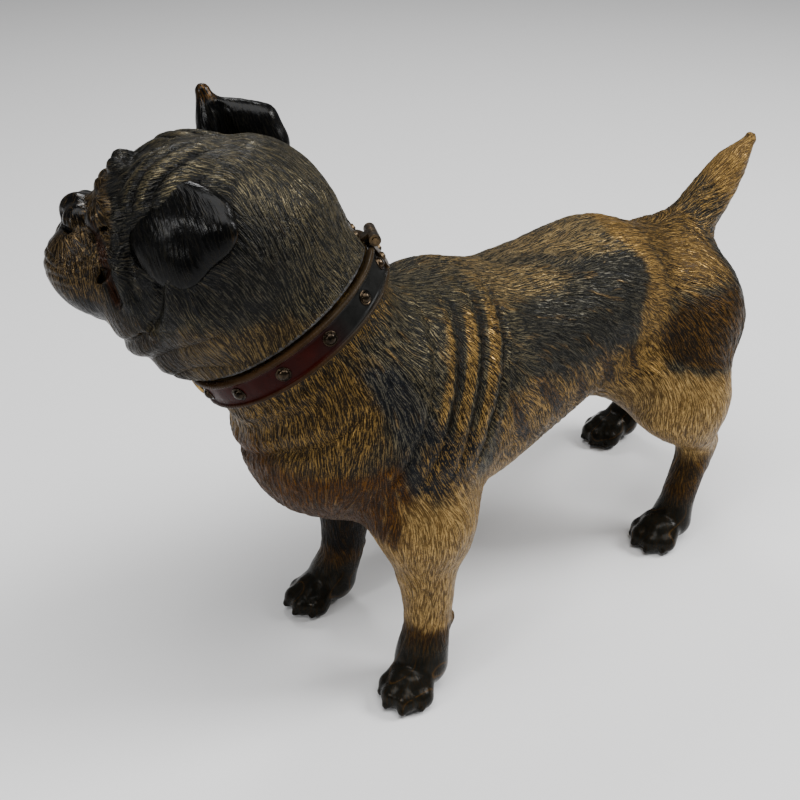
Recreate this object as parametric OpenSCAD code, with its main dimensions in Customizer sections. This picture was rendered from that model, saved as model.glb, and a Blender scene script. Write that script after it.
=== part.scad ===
// Figural animal coin bank: hollow cast trunk on cast legs, with a hinged head that locks shut.
// Millimetres. +Z is up, the animal faces -X, and its own left side is -Y.

/* [Castings] */
// wall of the hollow castings
wall = 3; // [2:0.5:4]
// height at which the leg castings join the trunk
leg_joint_z = 52; // [48:1:56]
// turn of the head to the animal's right, in degrees
head_turn = 36; // [20:1:45]

/* [Coin slot] */
// length of the slot, along the back
slot_l = 36; // [32:1:40]
// width of the slot
slot_w = 5; // [4.6:0.1:6]

/* [Neck and collar] */
// lean of the neck from upright, in degrees
neck_tilt = 34; // [25:1:45]
// turn of the neck to the animal's right, in degrees
neck_turn = 30; // [15:1:40]
// outer radius of the collar band
collar_r = 31.3; // [30.9:0.1:32]
// width of the collar band
collar_w = 9; // [7:0.5:10]
// studs on each side of the collar
side_studs = 6; // [4:1:6]
// angle from one stud to the next, in degrees
stud_pitch = 28.6; // [26:0.2:29]
// radius of a stud
stud_r = 2; // [1.5:0.1:2.5]

/* [Hinge] */
// width of the hinge
hinge_w = 10.4; // [8:0.2:11]
// radius of the hinge pin
pin_r = 0.9; // [0.7:0.1:1.1]
// outer radius of the knuckles
knuckle_r = 1.7; // [1.5:0.1:2]

/* [Lock] */
// thickness of the lock case walls
case_wall = 1; // [0.8:0.1:1.2]
// height of the bolt
bolt_h = 3.4; // [3:0.1:3.6]
// radius of the keyhole
keyhole_r = 1.6; // [1.2:0.1:1.8]

/* [Hidden] */
// moves the middle of the bounding box onto the origin
plan_shift = [-3.5, -2.5, 0];
// centre of the collar, and the turn of its hinge and lock about the neck
neck_o = [-65.5, 4.5, 122];
collar_spin = 4;
// middle of the skull
head_o = [-79, 11, 150];
// facets of the big, middle and small balls
big = 28;
mid = 20;
small = 12;
// facets of round holes and fittings
fine = 64;
// clearance of a rivet in its hole
slack = 0.06;

// radii about the neck, from the collar inwards
rim_h = 0.7;
rim_w = 1;
band_in_r = 29.9;
neck_r = 29.8;
tube_out_r = 26.8;
tube_in_r = 24;
spigot_out_r = 23.8;
spigot_in_r = 22.2;
// the head's side of the joint
head_base_r = 28.8;
head_bore_r = 26.4;
ring_in_r = 24.2;
ring_out_r = 26.3;
// heights along the neck, from the middle of the collar
tube_z = -12;
shell_top_z = 3.4;
seat_z = 4.4;
head_z = 5.2;
spigot_z = 8;
ring_top_z = 10;

// hinge, at the nape
leaf_t = 0.8;
hinge_x = -33;
hinge_z = 5;
middle_w = 3.4;
rivet_r = 0.8;
rivet_turn = 6;
body_rivet_z = -0.5;
head_rivet_z = 9;

// lock, inside the neck at the throat
case_x = [11.2, 19.2];
case_y = [-10.5, 8];
case_z = [-6, 8.5];
cover_t = 1;
bolt_x = [12.6, 15.6];
bolt_y = [-5, 8];
bolt_z = 1.6;
bolt_gap = 0.15;
key_z = -0.5;
key_slot_l = 3.2;
key_slot_w = 1.2;
plate_r = 4.2;
post_r = 0.8;
post_places = [[-8.6, -4.1], [6.1, -4.1], [-8.6, 6.6], [6.1, 6.6]];
strike_x = [10.4, 17.8];
strike_y = [8.4, 9.6];
window_gap = 0.9;
strike_rivets_at = [[23.6, 8.9], [22.1, 12.1]];

// Balls are [x, y, z, radius]; a limb is the skin stretched over each ball and the next.
chest = [[-47, 0, 90, 34], [-17, 0, 87, 36], [17, 0, 90, 31]];
loin = [[17, 0, 90, 31], [55, 0, 98, 26.5], [86, 0, 90, 25]];
brisket = [[-58, 0, 81, 21], [-39, 0, 64, 15]];
neck_root = [-29, 0, 98, 31];
left_shoulder = [[-39, -18, 82, 22], [-41, -27, 60, 15]];
right_shoulder = [[-39, 18, 82, 22], [-37, 22, 60, 14]];
left_thigh = [[86, -13, 84, 22.5], [80, -23, 60, 16]];
right_thigh = [[89, 15, 84, 23], [97, 22, 62, 17]];
front_left = [[-41, -27, 60, 15], [-41, -29, 42, 10], [-41, -30, 22, 7.6], [-45, -32, 7.6, 9]];
front_right = [[-37, 20, 60, 14], [-37, 20, 40, 10], [-39, 20, 20, 7.6], [-43, 21, 7.6, 9]];
rear_left = [[80, -23, 60, 16], [81, -26, 44, 11], [87, -26, 38, 7.5], [82, -26, 18, 6.5], [79, -26, 6.8, 8]];
rear_right = [[97, 22, 62, 17], [109, 28, 44, 11], [123, 32, 38, 7.5], [121, 34, 18, 6.5], [117, 36, 6.8, 8]];
tail_limb = [[95, 0, 106, 9], [108, 0, 118, 8], [121, 0, 130, 6], [129, 0, 137, 2.8]];
tail_joint = [100, 0, 111];
tail_lean = 48;
// skin folds behind the collar, on the animal's left
folds = [
    [[-38, -16, 122, 7], [-34, -31, 104, 7], [-38, -35, 84, 7]],
    [[-24, -14, 117, 7], [-21, -29, 103, 7], [-25, -34, 84, 7]],
    [[-10, -13, 113, 7], [-7, -28, 98, 7], [-11, -32, 82, 7]]
];

// The head's balls are [forward, to its left, up, radius] from the middle of the skull.
skull = [[-3, 0, -2, 27], [7, 0, 3, 25]];
brow = [[14, 10, 12, 13], [25, 8, 9, 10]];
cheek = [[4, 12, -12, 18], [18, 10, -15, 15]];
jowl = [[11, 6, -24, 16], [22, 7, -21, 11]];
flew = [[28, 6, -6, 14], [37, 6, -9, 12]];
chin = [[26, 0, -20, 11], [35, 0, -18, 8]];
nose = [[38, 2, 7, 4.5], [42, 1, 7, 4.5]];
upper_flap = [[-2, 23, 17, 4], [13, 22, 17, 4], [-3, 27, 7, 4], [16, 23, 8, 3.5]];
lower_flap = [[-3, 27, 7, 4], [16, 23, 8, 3.5], [7, 27, -2, 3.5]];
ear_base = [[-12, -21, 13, 5], [5, -20, 20, 4], [-7, -23, 26, 4.5]];
ear_tip = [[5, -20, 20, 4], [-7, -23, 26, 4.5], [6, -22, 32, 1.8]];

// ---- frames ----

// along the neck: x out at the throat, y to the animal's left, z up the neck
module at_neck()
    translate(neck_o) rotate([0, neck_tilt, 180 - neck_turn]) rotate([0, 0, collar_spin]) children();

// on the skull: x forward, y to the animal's left, z up
module at_head()
    translate(head_o) rotate([0, 0, 180 - head_turn]) children();

// ---- shapes shared by several castings ----

module ball(b, facets, inset = 0)
    translate([b[0], b[1], b[2]]) sphere(r = b[3] - inset, $fn = facets);

module limb(balls, facets, inset = 0)
    for (i = [0 : len(balls) - 2])
        hull() {
            ball(balls[i], facets, inset);
            ball(balls[i + 1], facets, inset);
        }

// the same limb on both sides of the head
module pair(balls, facets, inset = 0)
    for (side = [1, -1])
        scale([1, side, 1]) limb(balls, facets, inset);

module web(balls, facets)
    hull()
        for (b = balls)
            ball(b, facets);

// four toes fanned out in front of a paw
module toes(heel, turn)
    translate([heel[0], heel[1], 0]) rotate([0, 0, 180 + turn])
        for (i = [0 : 3])
            rotate([0, 0, (i - 1.5) * 20])
                hull() {
                    translate([3, 0, 6]) sphere(r = 5, $fn = small);
                    translate([i == 0 || i == 3 ? 12 : 14.5, 0, 3]) sphere(r = 4, $fn = small);
                }

// everything below z, or above it
module below(z)
    translate([-200, -200, z - 400]) cube([400, 400, 400]);

module above(z)
    translate([-200, -200, z]) cube([400, 400, 400]);

module tail_side()
    translate(tail_joint) rotate([0, tail_lean, 0]) translate([-30, -30, 0]) cube([60, 60, 60]);

// radial hole or shank through the hinge's two rivet places
module nape_pair(z, r, from_r, to_r)
    for (side = [-1, 1])
        rotate([0, 0, 180 + side * rivet_turn])
            translate([from_r, 0, z]) rotate([0, 90, 0]) cylinder(r = r, h = to_r - from_r, $fn = fine);

// round hole with a slot under it, cut outwards at the throat
module keyhole(from_x, to_x) {
    translate([from_x, 0, key_z]) rotate([0, 90, 0]) cylinder(r = keyhole_r, h = to_x - from_x, $fn = fine);
    translate([from_x, -key_slot_w / 2, key_z - key_slot_l]) cube([to_x - from_x, key_slot_w, key_slot_l]);
}

// ---- trunk ----

module trunk_skin() {
    limb(chest, big);
    limb(loin, big);
    limb(brisket, big);
    for (fold = folds)
        limb(fold, small);
    hull() {
        ball(neck_root, big);
        at_neck() translate([0, 0, -9]) cylinder(r = neck_r, h = 9 + shell_top_z, $fn = fine);
    }
    difference() {
        union() {
            for (muscle = [left_shoulder, right_shoulder, left_thigh, right_thigh])
                limb(muscle, big);
            for (leg = [front_left, front_right, rear_left, rear_right])
                limb([leg[0], leg[1]], mid);
        }
        below(leg_joint_z);
    }
    limb([tail_limb[0], tail_limb[1]], mid);
}

// the seat of the collar, and everything above the trunk's rim
module collar_room()
    at_neck() difference() {
        translate([0, 0, -collar_w / 2 - 0.3]) cylinder(r = 60, h = 60, $fn = fine);
        translate([0, 0, -10]) cylinder(r = neck_r, h = 10 + shell_top_z, $fn = fine);
    }

module chamber() {
    limb(chest, mid, wall);
    limb(loin, mid, wall);
    hull() {
        ball(neck_root, mid, wall);
        at_neck() translate([0, 0, tube_z]) cylinder(r = tube_out_r - 1, h = 6, $fn = fine);
    }
    at_neck() translate([0, 0, tube_z - 0.2]) cylinder(r = tube_out_r + 0.1, h = 30, $fn = fine);
}

module coin_slot()
    translate([-slot_l / 2 - 3, 15.8, 80]) cube([slot_l, slot_w, 60]);

module half_shell(side)
    color("saddlebrown") translate(plan_shift) difference() {
        trunk_skin();
        chamber();
        coin_slot();
        collar_room();
        tail_side();
        at_neck() nape_pair(body_rivet_z, rivet_r + slack, 20, 40);
        at_neck() keyhole(20, 40);
        translate([-200, side > 0 ? -400 : 0, -100]) cube([400, 400, 400]);
    }

module body_left_shell()
    half_shell(-1);

module body_right_shell()
    half_shell(1);

module leg(balls, turn)
    color("peru") translate(plan_shift) difference() {
        union() {
            limb(balls, mid);
            toes(balls[len(balls) - 1], turn);
        }
        above(leg_joint_z);
        below(0);
    }

module front_left_leg()
    leg(front_left, 22);

module front_right_leg()
    leg(front_right, -3);

module rear_left_leg()
    leg(rear_left, 2);

module rear_right_leg()
    leg(rear_right, -10);

module tail()
    color("darkorange") translate(plan_shift) intersection() {
        limb(tail_limb, mid);
        tail_side();
    }

// ---- collar ----

module collar_band()
    color("maroon") translate(plan_shift) at_neck() difference() {
        union() {
            rotate_extrude($fn = fine)
                polygon([
                    [band_in_r, -collar_w / 2],
                    [collar_r + rim_h, -collar_w / 2],
                    [collar_r + rim_h, rim_w - collar_w / 2],
                    [collar_r, rim_w + rim_h - collar_w / 2],
                    [collar_r, collar_w / 2 - rim_w - rim_h],
                    [collar_r + rim_h, collar_w / 2 - rim_w],
                    [collar_r + rim_h, collar_w / 2],
                    [band_in_r, collar_w / 2]
                ]);
            translate([30.2, -5.5, 0.3 - collar_w / 2]) cube([1.6, 11, collar_w - 0.6]);
        }
        keyhole(25, 40);
        translate([31.8, 0, 0]) rotate([0, 90, 0]) cylinder(r = plate_r + 0.1, h = 4, $fn = fine);
        nape_pair(body_rivet_z, rivet_r + slack, 25, 40);
        rotate([0, 0, 169])
            rotate_extrude(angle = 22, $fn = fine) translate([collar_r - 0.05, -10]) square([4, 20]);
        translate([hinge_x - 2.2, -hinge_w / 2 - 0.4, hinge_z - 2.1]) cube([4.4, hinge_w + 0.8, 4]);
    }

// domed studs pressed into the band
module collar_studs()
    color("dimgray") translate(plan_shift) at_neck()
        for (side = [-1, 1])
            for (i = [0 : side_studs - 1])
                rotate([0, 0, 180 + side * (i + 0.5) * stud_pitch])
                    translate([collar_r - 0.8, 0, 0]) rotate([0, 90, 0]) {
                        cylinder(r = 0.6, h = 1, $fn = mid);
                        translate([0, 0, 0.7]) cylinder(r = stud_r, h = 0.5, $fn = mid);
                        translate([0, 0, 1.2]) cylinder(r1 = stud_r - 0.2, r2 = stud_r / 2, h = 0.9, $fn = mid);
                    }

// ---- neck ring, soldered into the trunk: the head sits on it ----

module neck_ring()
    color("darkgoldenrod") translate(plan_shift) at_neck() difference() {
        rotate_extrude($fn = fine) {
            translate([tube_in_r, tube_z])
                square([tube_out_r - tube_in_r, shell_top_z - tube_z]);
            translate([spigot_in_r, shell_top_z])
                square([neck_r - spigot_in_r, seat_z - shell_top_z]);
            translate([spigot_in_r, seat_z - 0.1])
                square([spigot_out_r - spigot_in_r, spigot_z - seat_z + 0.1]);
        }
        keyhole(18, 30);
        nape_pair(body_rivet_z, rivet_r + slack, 20, 30);
    }

// block between the ring and the lock case, its back curved to the ring
module lock_block()
    color("peru") translate(plan_shift) at_neck() difference() {
        intersection() {
            translate([case_x[1], case_y[0], case_z[0]])
                cube([10, case_y[1] - case_y[0], shell_top_z - 0.3 - case_z[0]]);
            translate([0, 0, -20]) cylinder(r = tube_in_r - 0.03, h = 40, $fn = fine);
        }
        keyhole(18, 30);
    }

// ---- hinge ----

module knuckle(y, w)
    translate([hinge_x, y, hinge_z]) rotate([-90, 0, 0]) cylinder(r = knuckle_r, h = w, $fn = fine);

module pin_bore()
    translate([hinge_x, -10, hinge_z]) rotate([-90, 0, 0]) cylinder(r = pin_r + 0.05, h = 20, $fn = fine);

module hinge_body_leaf()
    color("goldenrod") translate(plan_shift) at_neck() difference() {
        union() {
            rotate([0, 0, 171])
                rotate_extrude(angle = 18, $fn = fine)
                    translate([collar_r, -4]) square([leaf_t, 8.2]);
            knuckle(-hinge_w / 2, (hinge_w - middle_w) / 2 - 0.2);
            knuckle(middle_w / 2 + 0.2, (hinge_w - middle_w) / 2 - 0.2);
        }
        translate([hinge_x - 3, -middle_w / 2 - 0.2, 3.05]) cube([6, middle_w + 0.4, 6]);
        nape_pair(body_rivet_z, rivet_r + slack, 25, 40);
        pin_bore();
    }

module hinge_head_leaf()
    color("goldenrod") translate(plan_shift) at_neck() difference() {
        union() {
            rotate([0, 0, 171])
                rotate_extrude(angle = 18, $fn = fine)
                    translate([head_base_r + 0.05, head_z + 0.3]) square([leaf_t, 8]);
            knuckle(-middle_w / 2, middle_w);
            translate([hinge_x, -middle_w / 2, head_z + 0.3]) cube([3.7, middle_w, 1]);
        }
        nape_pair(head_rivet_z, rivet_r + slack, 20, 40);
        pin_bore();
    }

module hinge_pin()
    color("silver") translate(plan_shift) at_neck()
        translate([hinge_x, -hinge_w / 2 - 0.4, hinge_z]) rotate([-90, 0, 0])
            cylinder(r = pin_r, h = hinge_w + 0.8, $fn = fine);

module dome(z, r, at_r)
    for (side = [-1, 1])
        rotate([0, 0, 180 + side * rivet_turn])
            translate([at_r, 0, z]) rotate([0, 90, 0]) cylinder(r1 = r, r2 = r / 2, h = 0.7, $fn = fine);

module hinge_body_rivets()
    color("silver") translate(plan_shift) at_neck() {
        nape_pair(body_rivet_z, rivet_r, tube_in_r - 0.4, collar_r + leaf_t + 0.1);
        dome(body_rivet_z, 1.4, collar_r + leaf_t + 0.05);
    }

module hinge_head_rivets()
    color("silver") translate(plan_shift) at_neck() {
        nape_pair(head_rivet_z, rivet_r, ring_in_r + 0.1, head_base_r + leaf_t + 0.2);
        dome(head_rivet_z, 1.4, head_base_r + leaf_t + 0.1);
    }

// ---- lock ----

module lock_case()
    color("slategray") translate(plan_shift) at_neck() difference() {
        translate([case_x[0], case_y[0], case_z[0]])
            cube([case_x[1] - case_x[0], case_y[1] - case_y[0], case_z[1] - case_z[0]]);
        translate([case_x[0] - 1, case_y[0] + case_wall, case_z[0] + case_wall])
            cube([
                case_x[1] - case_x[0] + 1 - case_wall,
                case_y[1] - case_y[0] - 2 * case_wall,
                case_z[1] - case_z[0] - 2 * case_wall
            ]);
        translate([bolt_x[0] - bolt_gap, 0, bolt_z - bolt_gap])
            cube([bolt_x[1] - bolt_x[0] + 2 * bolt_gap, 20, bolt_h + 2 * bolt_gap]);
        keyhole(case_x[1] - 3, case_x[1] + 1);
    }

module lock_cover()
    color("gray") translate(plan_shift) at_neck() difference() {
        translate([case_x[0] - cover_t, case_y[0], case_z[0]])
            cube([cover_t, case_y[1] - case_y[0], case_z[1] - case_z[0]]);
        for (p = post_places)
            translate([case_x[0] - 5, p[0], p[1]]) rotate([0, 90, 0])
                cylinder(r = post_r + slack, h = 10, $fn = fine);
    }

// riveted posts that hold the cover on
module lock_posts()
    color("silver") translate(plan_shift) at_neck()
        for (p = post_places)
            translate([case_x[0] - cover_t - 0.6, p[0], p[1]]) rotate([0, 90, 0]) {
                cylinder(r = post_r, h = case_x[1] - case_wall - case_x[0] + cover_t + 0.6, $fn = fine);
                cylinder(r1 = 0.8, r2 = 1.3, h = 0.6, $fn = fine);
            }

// leaf spring that presses on the bolt
module lock_spring()
    color("lightsteelblue") translate(plan_shift) at_neck() {
        translate([13.2, case_y[0] + case_wall, 5.2]) cube([1.8, 12.5, 0.3]);
        translate([13.2, case_y[0] + case_wall, 3.2]) cube([1.8, 0.5, 2.3]);
    }

module lock_bolt()
    color("steelblue") translate(plan_shift) at_neck() difference() {
        translate([bolt_x[0], bolt_y[0], bolt_z])
            cube([bolt_x[1] - bolt_x[0], bolt_y[1] - bolt_y[0], bolt_h]);
        translate([bolt_x[0] - 1, -1.6, bolt_z - 1]) cube([5, 3.2, 2.2]);
    }

module keyhole_escutcheon()
    color("gold") translate(plan_shift) at_neck() difference() {
        translate([31.8, 0, 0]) rotate([0, 90, 0]) cylinder(r = plate_r, h = 0.8, $fn = fine);
        keyhole(30, 40);
    }

// ---- head ----

module head_skin() {
    at_head() {
        limb(skull, big);
        pair(brow, mid);
        pair(cheek, big);
        pair(jowl, mid);
        pair(flew, mid);
        pair(nose, small);
        limb(chin, mid);
    }
    hull() {
        at_neck() translate([0, 0, head_z]) cylinder(r = head_base_r, h = 9, $fn = fine);
        at_head() ball([-4, 0, 2, 24], big);
    }
}

module head_hollow() {
    at_head() {
        limb(skull, mid, wall);
        pair(cheek, mid, wall + 1);
        pair(flew, small, wall + 2);
    }
    hull() {
        at_neck() translate([0, 0, head_z - 1]) cylinder(r = head_bore_r, h = 9, $fn = fine);
        at_head() ball([-4, 0, 0, 24], mid, wall);
    }
}

module head_shell()
    color("darkslategray") translate(plan_shift) difference() {
        head_skin();
        head_hollow();
        at_neck() {
            translate([-60, -60, head_z - 60]) cube([120, 120, 60]);
            nape_pair(head_rivet_z, rivet_r + slack, 20, 40);
            rotate([0, 0, 169])
                rotate_extrude(angle = 22, $fn = fine) translate([head_base_r, head_z - 1]) square([10, 10]);
        }
    }

module ear(webs)
    color("black") translate(plan_shift) difference() {
        at_head()
            for (balls = webs)
                web(balls, mid);
        head_skin();
    }

module left_ear()
    ear([upper_flap, lower_flap]);

module right_ear()
    ear([ear_base, ear_tip]);

// ring soldered into the head: it drops over the neck ring's spigot
module head_ring()
    color("darkgoldenrod") translate(plan_shift) at_neck() difference() {
        rotate_extrude($fn = fine)
            translate([ring_in_r, head_z]) square([ring_out_r - ring_in_r, ring_top_z - head_z]);
        nape_pair(head_rivet_z, rivet_r + slack, 20, 30);
        strike_holes(rivet_r + slack);
    }

module strike_holes(r)
    for (p = strike_rivets_at)
        translate([p[0], p[1], ring_top_z - 3]) cylinder(r = r, h = 5, $fn = fine);

// plate hanging from the head ring, with the window the bolt enters
module strike_plate()
    color("slategray") translate(plan_shift) at_neck() difference() {
        union() {
            translate([strike_x[0], strike_y[0], -0.6])
                cube([strike_x[1] - strike_x[0], strike_y[1] - strike_y[0], ring_top_z + 1.6]);
            translate([0, 0, ring_top_z]) linear_extrude(1)
                intersection() {
                    circle(r = ring_out_r - 0.1, $fn = fine);
                    translate([strike_x[0], strike_y[0]]) square([20, 5.2]);
                }
        }
        translate([bolt_x[0] - window_gap, 0, bolt_z - window_gap])
            cube([bolt_x[1] - bolt_x[0] + 2 * window_gap, 20, bolt_h + 2 * window_gap]);
        strike_holes(rivet_r + slack);
    }

module strike_rivets()
    color("silver") translate(plan_shift) at_neck()
        for (p = strike_rivets_at) {
            translate([p[0], p[1], ring_top_z - 2.9]) cylinder(r = rivet_r, h = 4, $fn = fine);
            translate([p[0], p[1], ring_top_z + 1]) cylinder(r1 = 1.1, r2 = 0.7, h = 0.6, $fn = fine);
        }

body_left_shell();
body_right_shell();
front_left_leg();
front_right_leg();
rear_left_leg();
rear_right_leg();
tail();
collar_band();
collar_studs();
neck_ring();
lock_block();
hinge_body_leaf();
hinge_pin();
hinge_body_rivets();
lock_case();
lock_cover();
lock_posts();
lock_spring();
keyhole_escutcheon();
lock_bolt();
head_shell();
left_ear();
right_ear();
head_ring();
hinge_head_leaf();
hinge_head_rivets();
strike_plate();
strike_rivets();
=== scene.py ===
"""Looks for the figural animal coin bank: cast skins, chased hair, cold paint, collar and fittings.

Lengths are millimetres until a mesh is made, in the part's own frame before its plan shift.
"""

import math

import bmesh
import bpy
import numpy as np
import openvdb as vdb
from mathutils import Matrix, Vector


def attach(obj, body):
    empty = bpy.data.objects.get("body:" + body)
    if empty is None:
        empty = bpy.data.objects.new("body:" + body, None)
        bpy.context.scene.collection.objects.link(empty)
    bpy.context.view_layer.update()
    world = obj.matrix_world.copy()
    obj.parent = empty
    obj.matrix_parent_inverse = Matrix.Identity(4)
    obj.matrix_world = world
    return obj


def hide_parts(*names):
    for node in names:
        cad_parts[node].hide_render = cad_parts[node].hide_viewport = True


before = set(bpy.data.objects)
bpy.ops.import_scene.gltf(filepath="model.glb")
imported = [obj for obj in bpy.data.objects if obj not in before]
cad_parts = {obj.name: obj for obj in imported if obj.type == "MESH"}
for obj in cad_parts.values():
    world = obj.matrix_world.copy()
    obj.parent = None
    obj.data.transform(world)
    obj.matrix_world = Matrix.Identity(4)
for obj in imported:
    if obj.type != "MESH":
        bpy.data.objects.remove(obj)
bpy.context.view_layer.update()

MM = 0.001
PLAN_SHIFT = np.array([-3.5, -2.5, 0.0])
# a field's value where no shape is near
FAR = 60.0

# ---- the figure's own dimensions ----

TRUNK_VOXEL = 0.72
HEAD_VOXEL = 0.62
EAR_VOXEL = 0.36
# corners of the grids that hold the trunk and the head
TRUNK_BOX = (-112, -52, -4), (138, 54, 146)
HEAD_BOX = (-138, -32, 92), (-34, 64, 186)
WALL = 3.0
LEG_JOINT_Z = 52.0
# the rolls of skin behind the shoulder: how far the last one lies back, and their spacing
FOLD_FIRST, FOLD_PITCH = 11.0, 9.2
# the coin slot's middle, in plan, and its half length and width
SLOT, SLOT_HALF_X, SLOT_HALF_Y = (-3.0, 18.3), 18.0, 2.5

NECK_O = (-65.5, 4.5, 122)
NECK_TILT, NECK_TURN, COLLAR_SPIN = 34, 30, 4
HEAD_O = (-79, 11, 150)
HEAD_TURN = 36

# the collar's outer and inner radius and its width; the studs on each side and the degrees between them
COLLAR_R, COLLAR_IN_R, COLLAR_W = 31.3, 29.9, 9.0
SIDE_STUDS, STUD_PITCH = 6, 28.6
# the head's radius at the hinge, its bore and the height of its rim
HEAD_BASE_R, HEAD_BORE_R, HEAD_Z = 28.5, 26.5, 5.2
# the neck ring's outer radius and the height of the body's rim round it
TUBE_OUT_R, SHELL_TOP_Z = 26.8, 3.4

# Balls are [x, y, z, radius]; a limb is a smooth tapering skin through its balls.
CHEST = [(-47, 0, 90, 34), (-17, 0, 87, 36), (17, 0, 90, 31)]
LOIN = [(17, 0, 90, 31), (55, 0, 98, 26.5), (86, 0, 90, 25)]
BRISKET = [(-58, 0, 81, 21), (-39, 0, 65, 15)]
LEFT_SHOULDER = [(-39, -18, 82, 21), (-41, -27, 60, 14)]
RIGHT_SHOULDER = [(-39, 18, 82, 21), (-37, 22, 60, 13)]
LEFT_THIGH = [(86, -13, 84, 22), (80, -23, 60, 15)]
RIGHT_THIGH = [(89, 15, 84, 22.5), (97, 22, 62, 16)]
FRONT_LEFT = [(-41, -27, 62, 14.5), (-41, -29, 42, 9.6), (-41, -30, 22, 7.3), (-45, -32, 9, 8.6)]
FRONT_RIGHT = [(-37, 21, 62, 13.5), (-37, 20, 40, 9.6), (-39, 20, 20, 7.3), (-43, 21, 9, 8.6)]
REAR_LEFT = [
    (80, -23, 60, 15.5), (81, -26, 45, 10.5), (87, -26, 37, 7), (82, -26, 18, 6.3), (79, -26, 8, 7.6)
]
REAR_RIGHT = [
    (97, 22, 62, 16.5), (110, 28, 45, 10.5), (123, 32, 37, 7), (121, 34, 18, 6.3), (117, 36, 8, 7.6)
]
TAIL = [(92, 0, 103, 10), (100, 0, 111, 8.5), (112, 0, 122, 7.4), (121, 0, 131, 5.2), (129, 0, 137.5, 2.2)]
TAIL_JOINT, TAIL_LEAN = (100, 0, 111), 48
TAIL_ROOT_X = 88
# smaller masses on the legs, each with its fillet: elbows, stifles, the flank's fold, hocks and dewclaws
LEG_MASSES = [
    ([(-31, -24, 62, 9), (-34, -27, 52, 7.5)], 9),
    ([(-28, 24, 62, 9), (-31, 27, 52, 7.5)], 9),
    ([(66, -19, 70, 12), (70, -24, 58, 9)], 9),
    ([(80, 20, 72, 12), (88, 23, 60, 9)], 9),
    ([(46, -14, 78, 9), (64, -20, 64, 7)], 9),
    ([(92, -26, 38, 5), (90, -26, 30, 4.4)], 3),
    ([(128, 33, 38, 5), (125, 33, 30, 4.4)], 3),
    ([(-34, -31, 21, 2.6), (-35, -31, 17, 2)], 2),
    ([(-32, 20, 20, 2.6), (-33, 20, 16, 2)], 2),
]
# the heel of each paw and the turn of its toes
PAWS = [(FRONT_LEFT[-1], 22), (FRONT_RIGHT[-1], -3), (REAR_LEFT[-1], 2), (REAR_RIGHT[-1], -10)]

# The head's balls are [forward, to its left, up, radius] from the middle of the skull.
SKULL = [(-3, 0, -2, 27), (6, 0, 0, 25)]
BROW = [(13, 9, 10, 12.5), (24, 8, 7, 9.5)]
CHEEK = [(4, 12, -12, 17.5), (18, 10, -15, 14.5)]
JOWL = [(11, 6, -24, 15.5), (21, 8, -21, 11)]
FLEW = [(27, 6, -8, 13), (37.4, 6, -7.2, 11.3)]
LIP = [(28, 8, -11, 11), (33.5, 7, -12, 10)]
CHIN = [(26, 0, -20, 11), (34, 0, -18, 8.5)]
MOUTH_CORNER = [(28.2, 18.6, 0.4, 1.2), (29.8, 18.6, -3, 1.4), (32.6, 16, -11, 1.2), (34.4, 13.4, -17.6, 1.0)]
CHEEK_FOLD = [(29.4, 8, 13, 2.0), (25.4, 17, 4, 2.6), (25.6, 19.6, -4, 2.8), (23.4, 21, -12, 2.6)]


# ---- small helpers ----

def turn(axis, degrees):
    return Matrix.Rotation(math.radians(degrees), 4, axis)


NECK = Matrix.Translation(NECK_O) @ turn("Z", 180 - NECK_TURN) @ turn("Y", NECK_TILT) @ turn("Z", COLLAR_SPIN)
HEAD = Matrix.Translation(HEAD_O) @ turn("Z", 180 - HEAD_TURN)
TAIL_SIDE = Matrix.Translation(TAIL_JOINT) @ turn("Y", TAIL_LEAN)


def to_world(place, p):
    """A point of a local frame, in the figure's frame."""
    return np.array(place @ Vector(p))


def local(place, points):
    """Points of the figure's frame in a local one."""
    back = np.array(place.inverted())
    return points @ back[:3, :3].T + back[:3, 3]


def axis_of(place, i):
    return np.array(place.to_3x3().col[i])


def ramp(value, start, end):
    """0 at start, 1 at end, smooth between; start may be above end."""
    t = np.clip((value - start) / (end - start), 0, 1)
    return t * t * (3 - 2 * t)


def lump(points, centre, radius):
    """1 at a centre, falling smoothly to 0 at the radius."""
    return ramp(np.linalg.norm(points - np.array(centre), axis=-1), radius, 0)


# ---- signed distance fields ----

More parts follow.
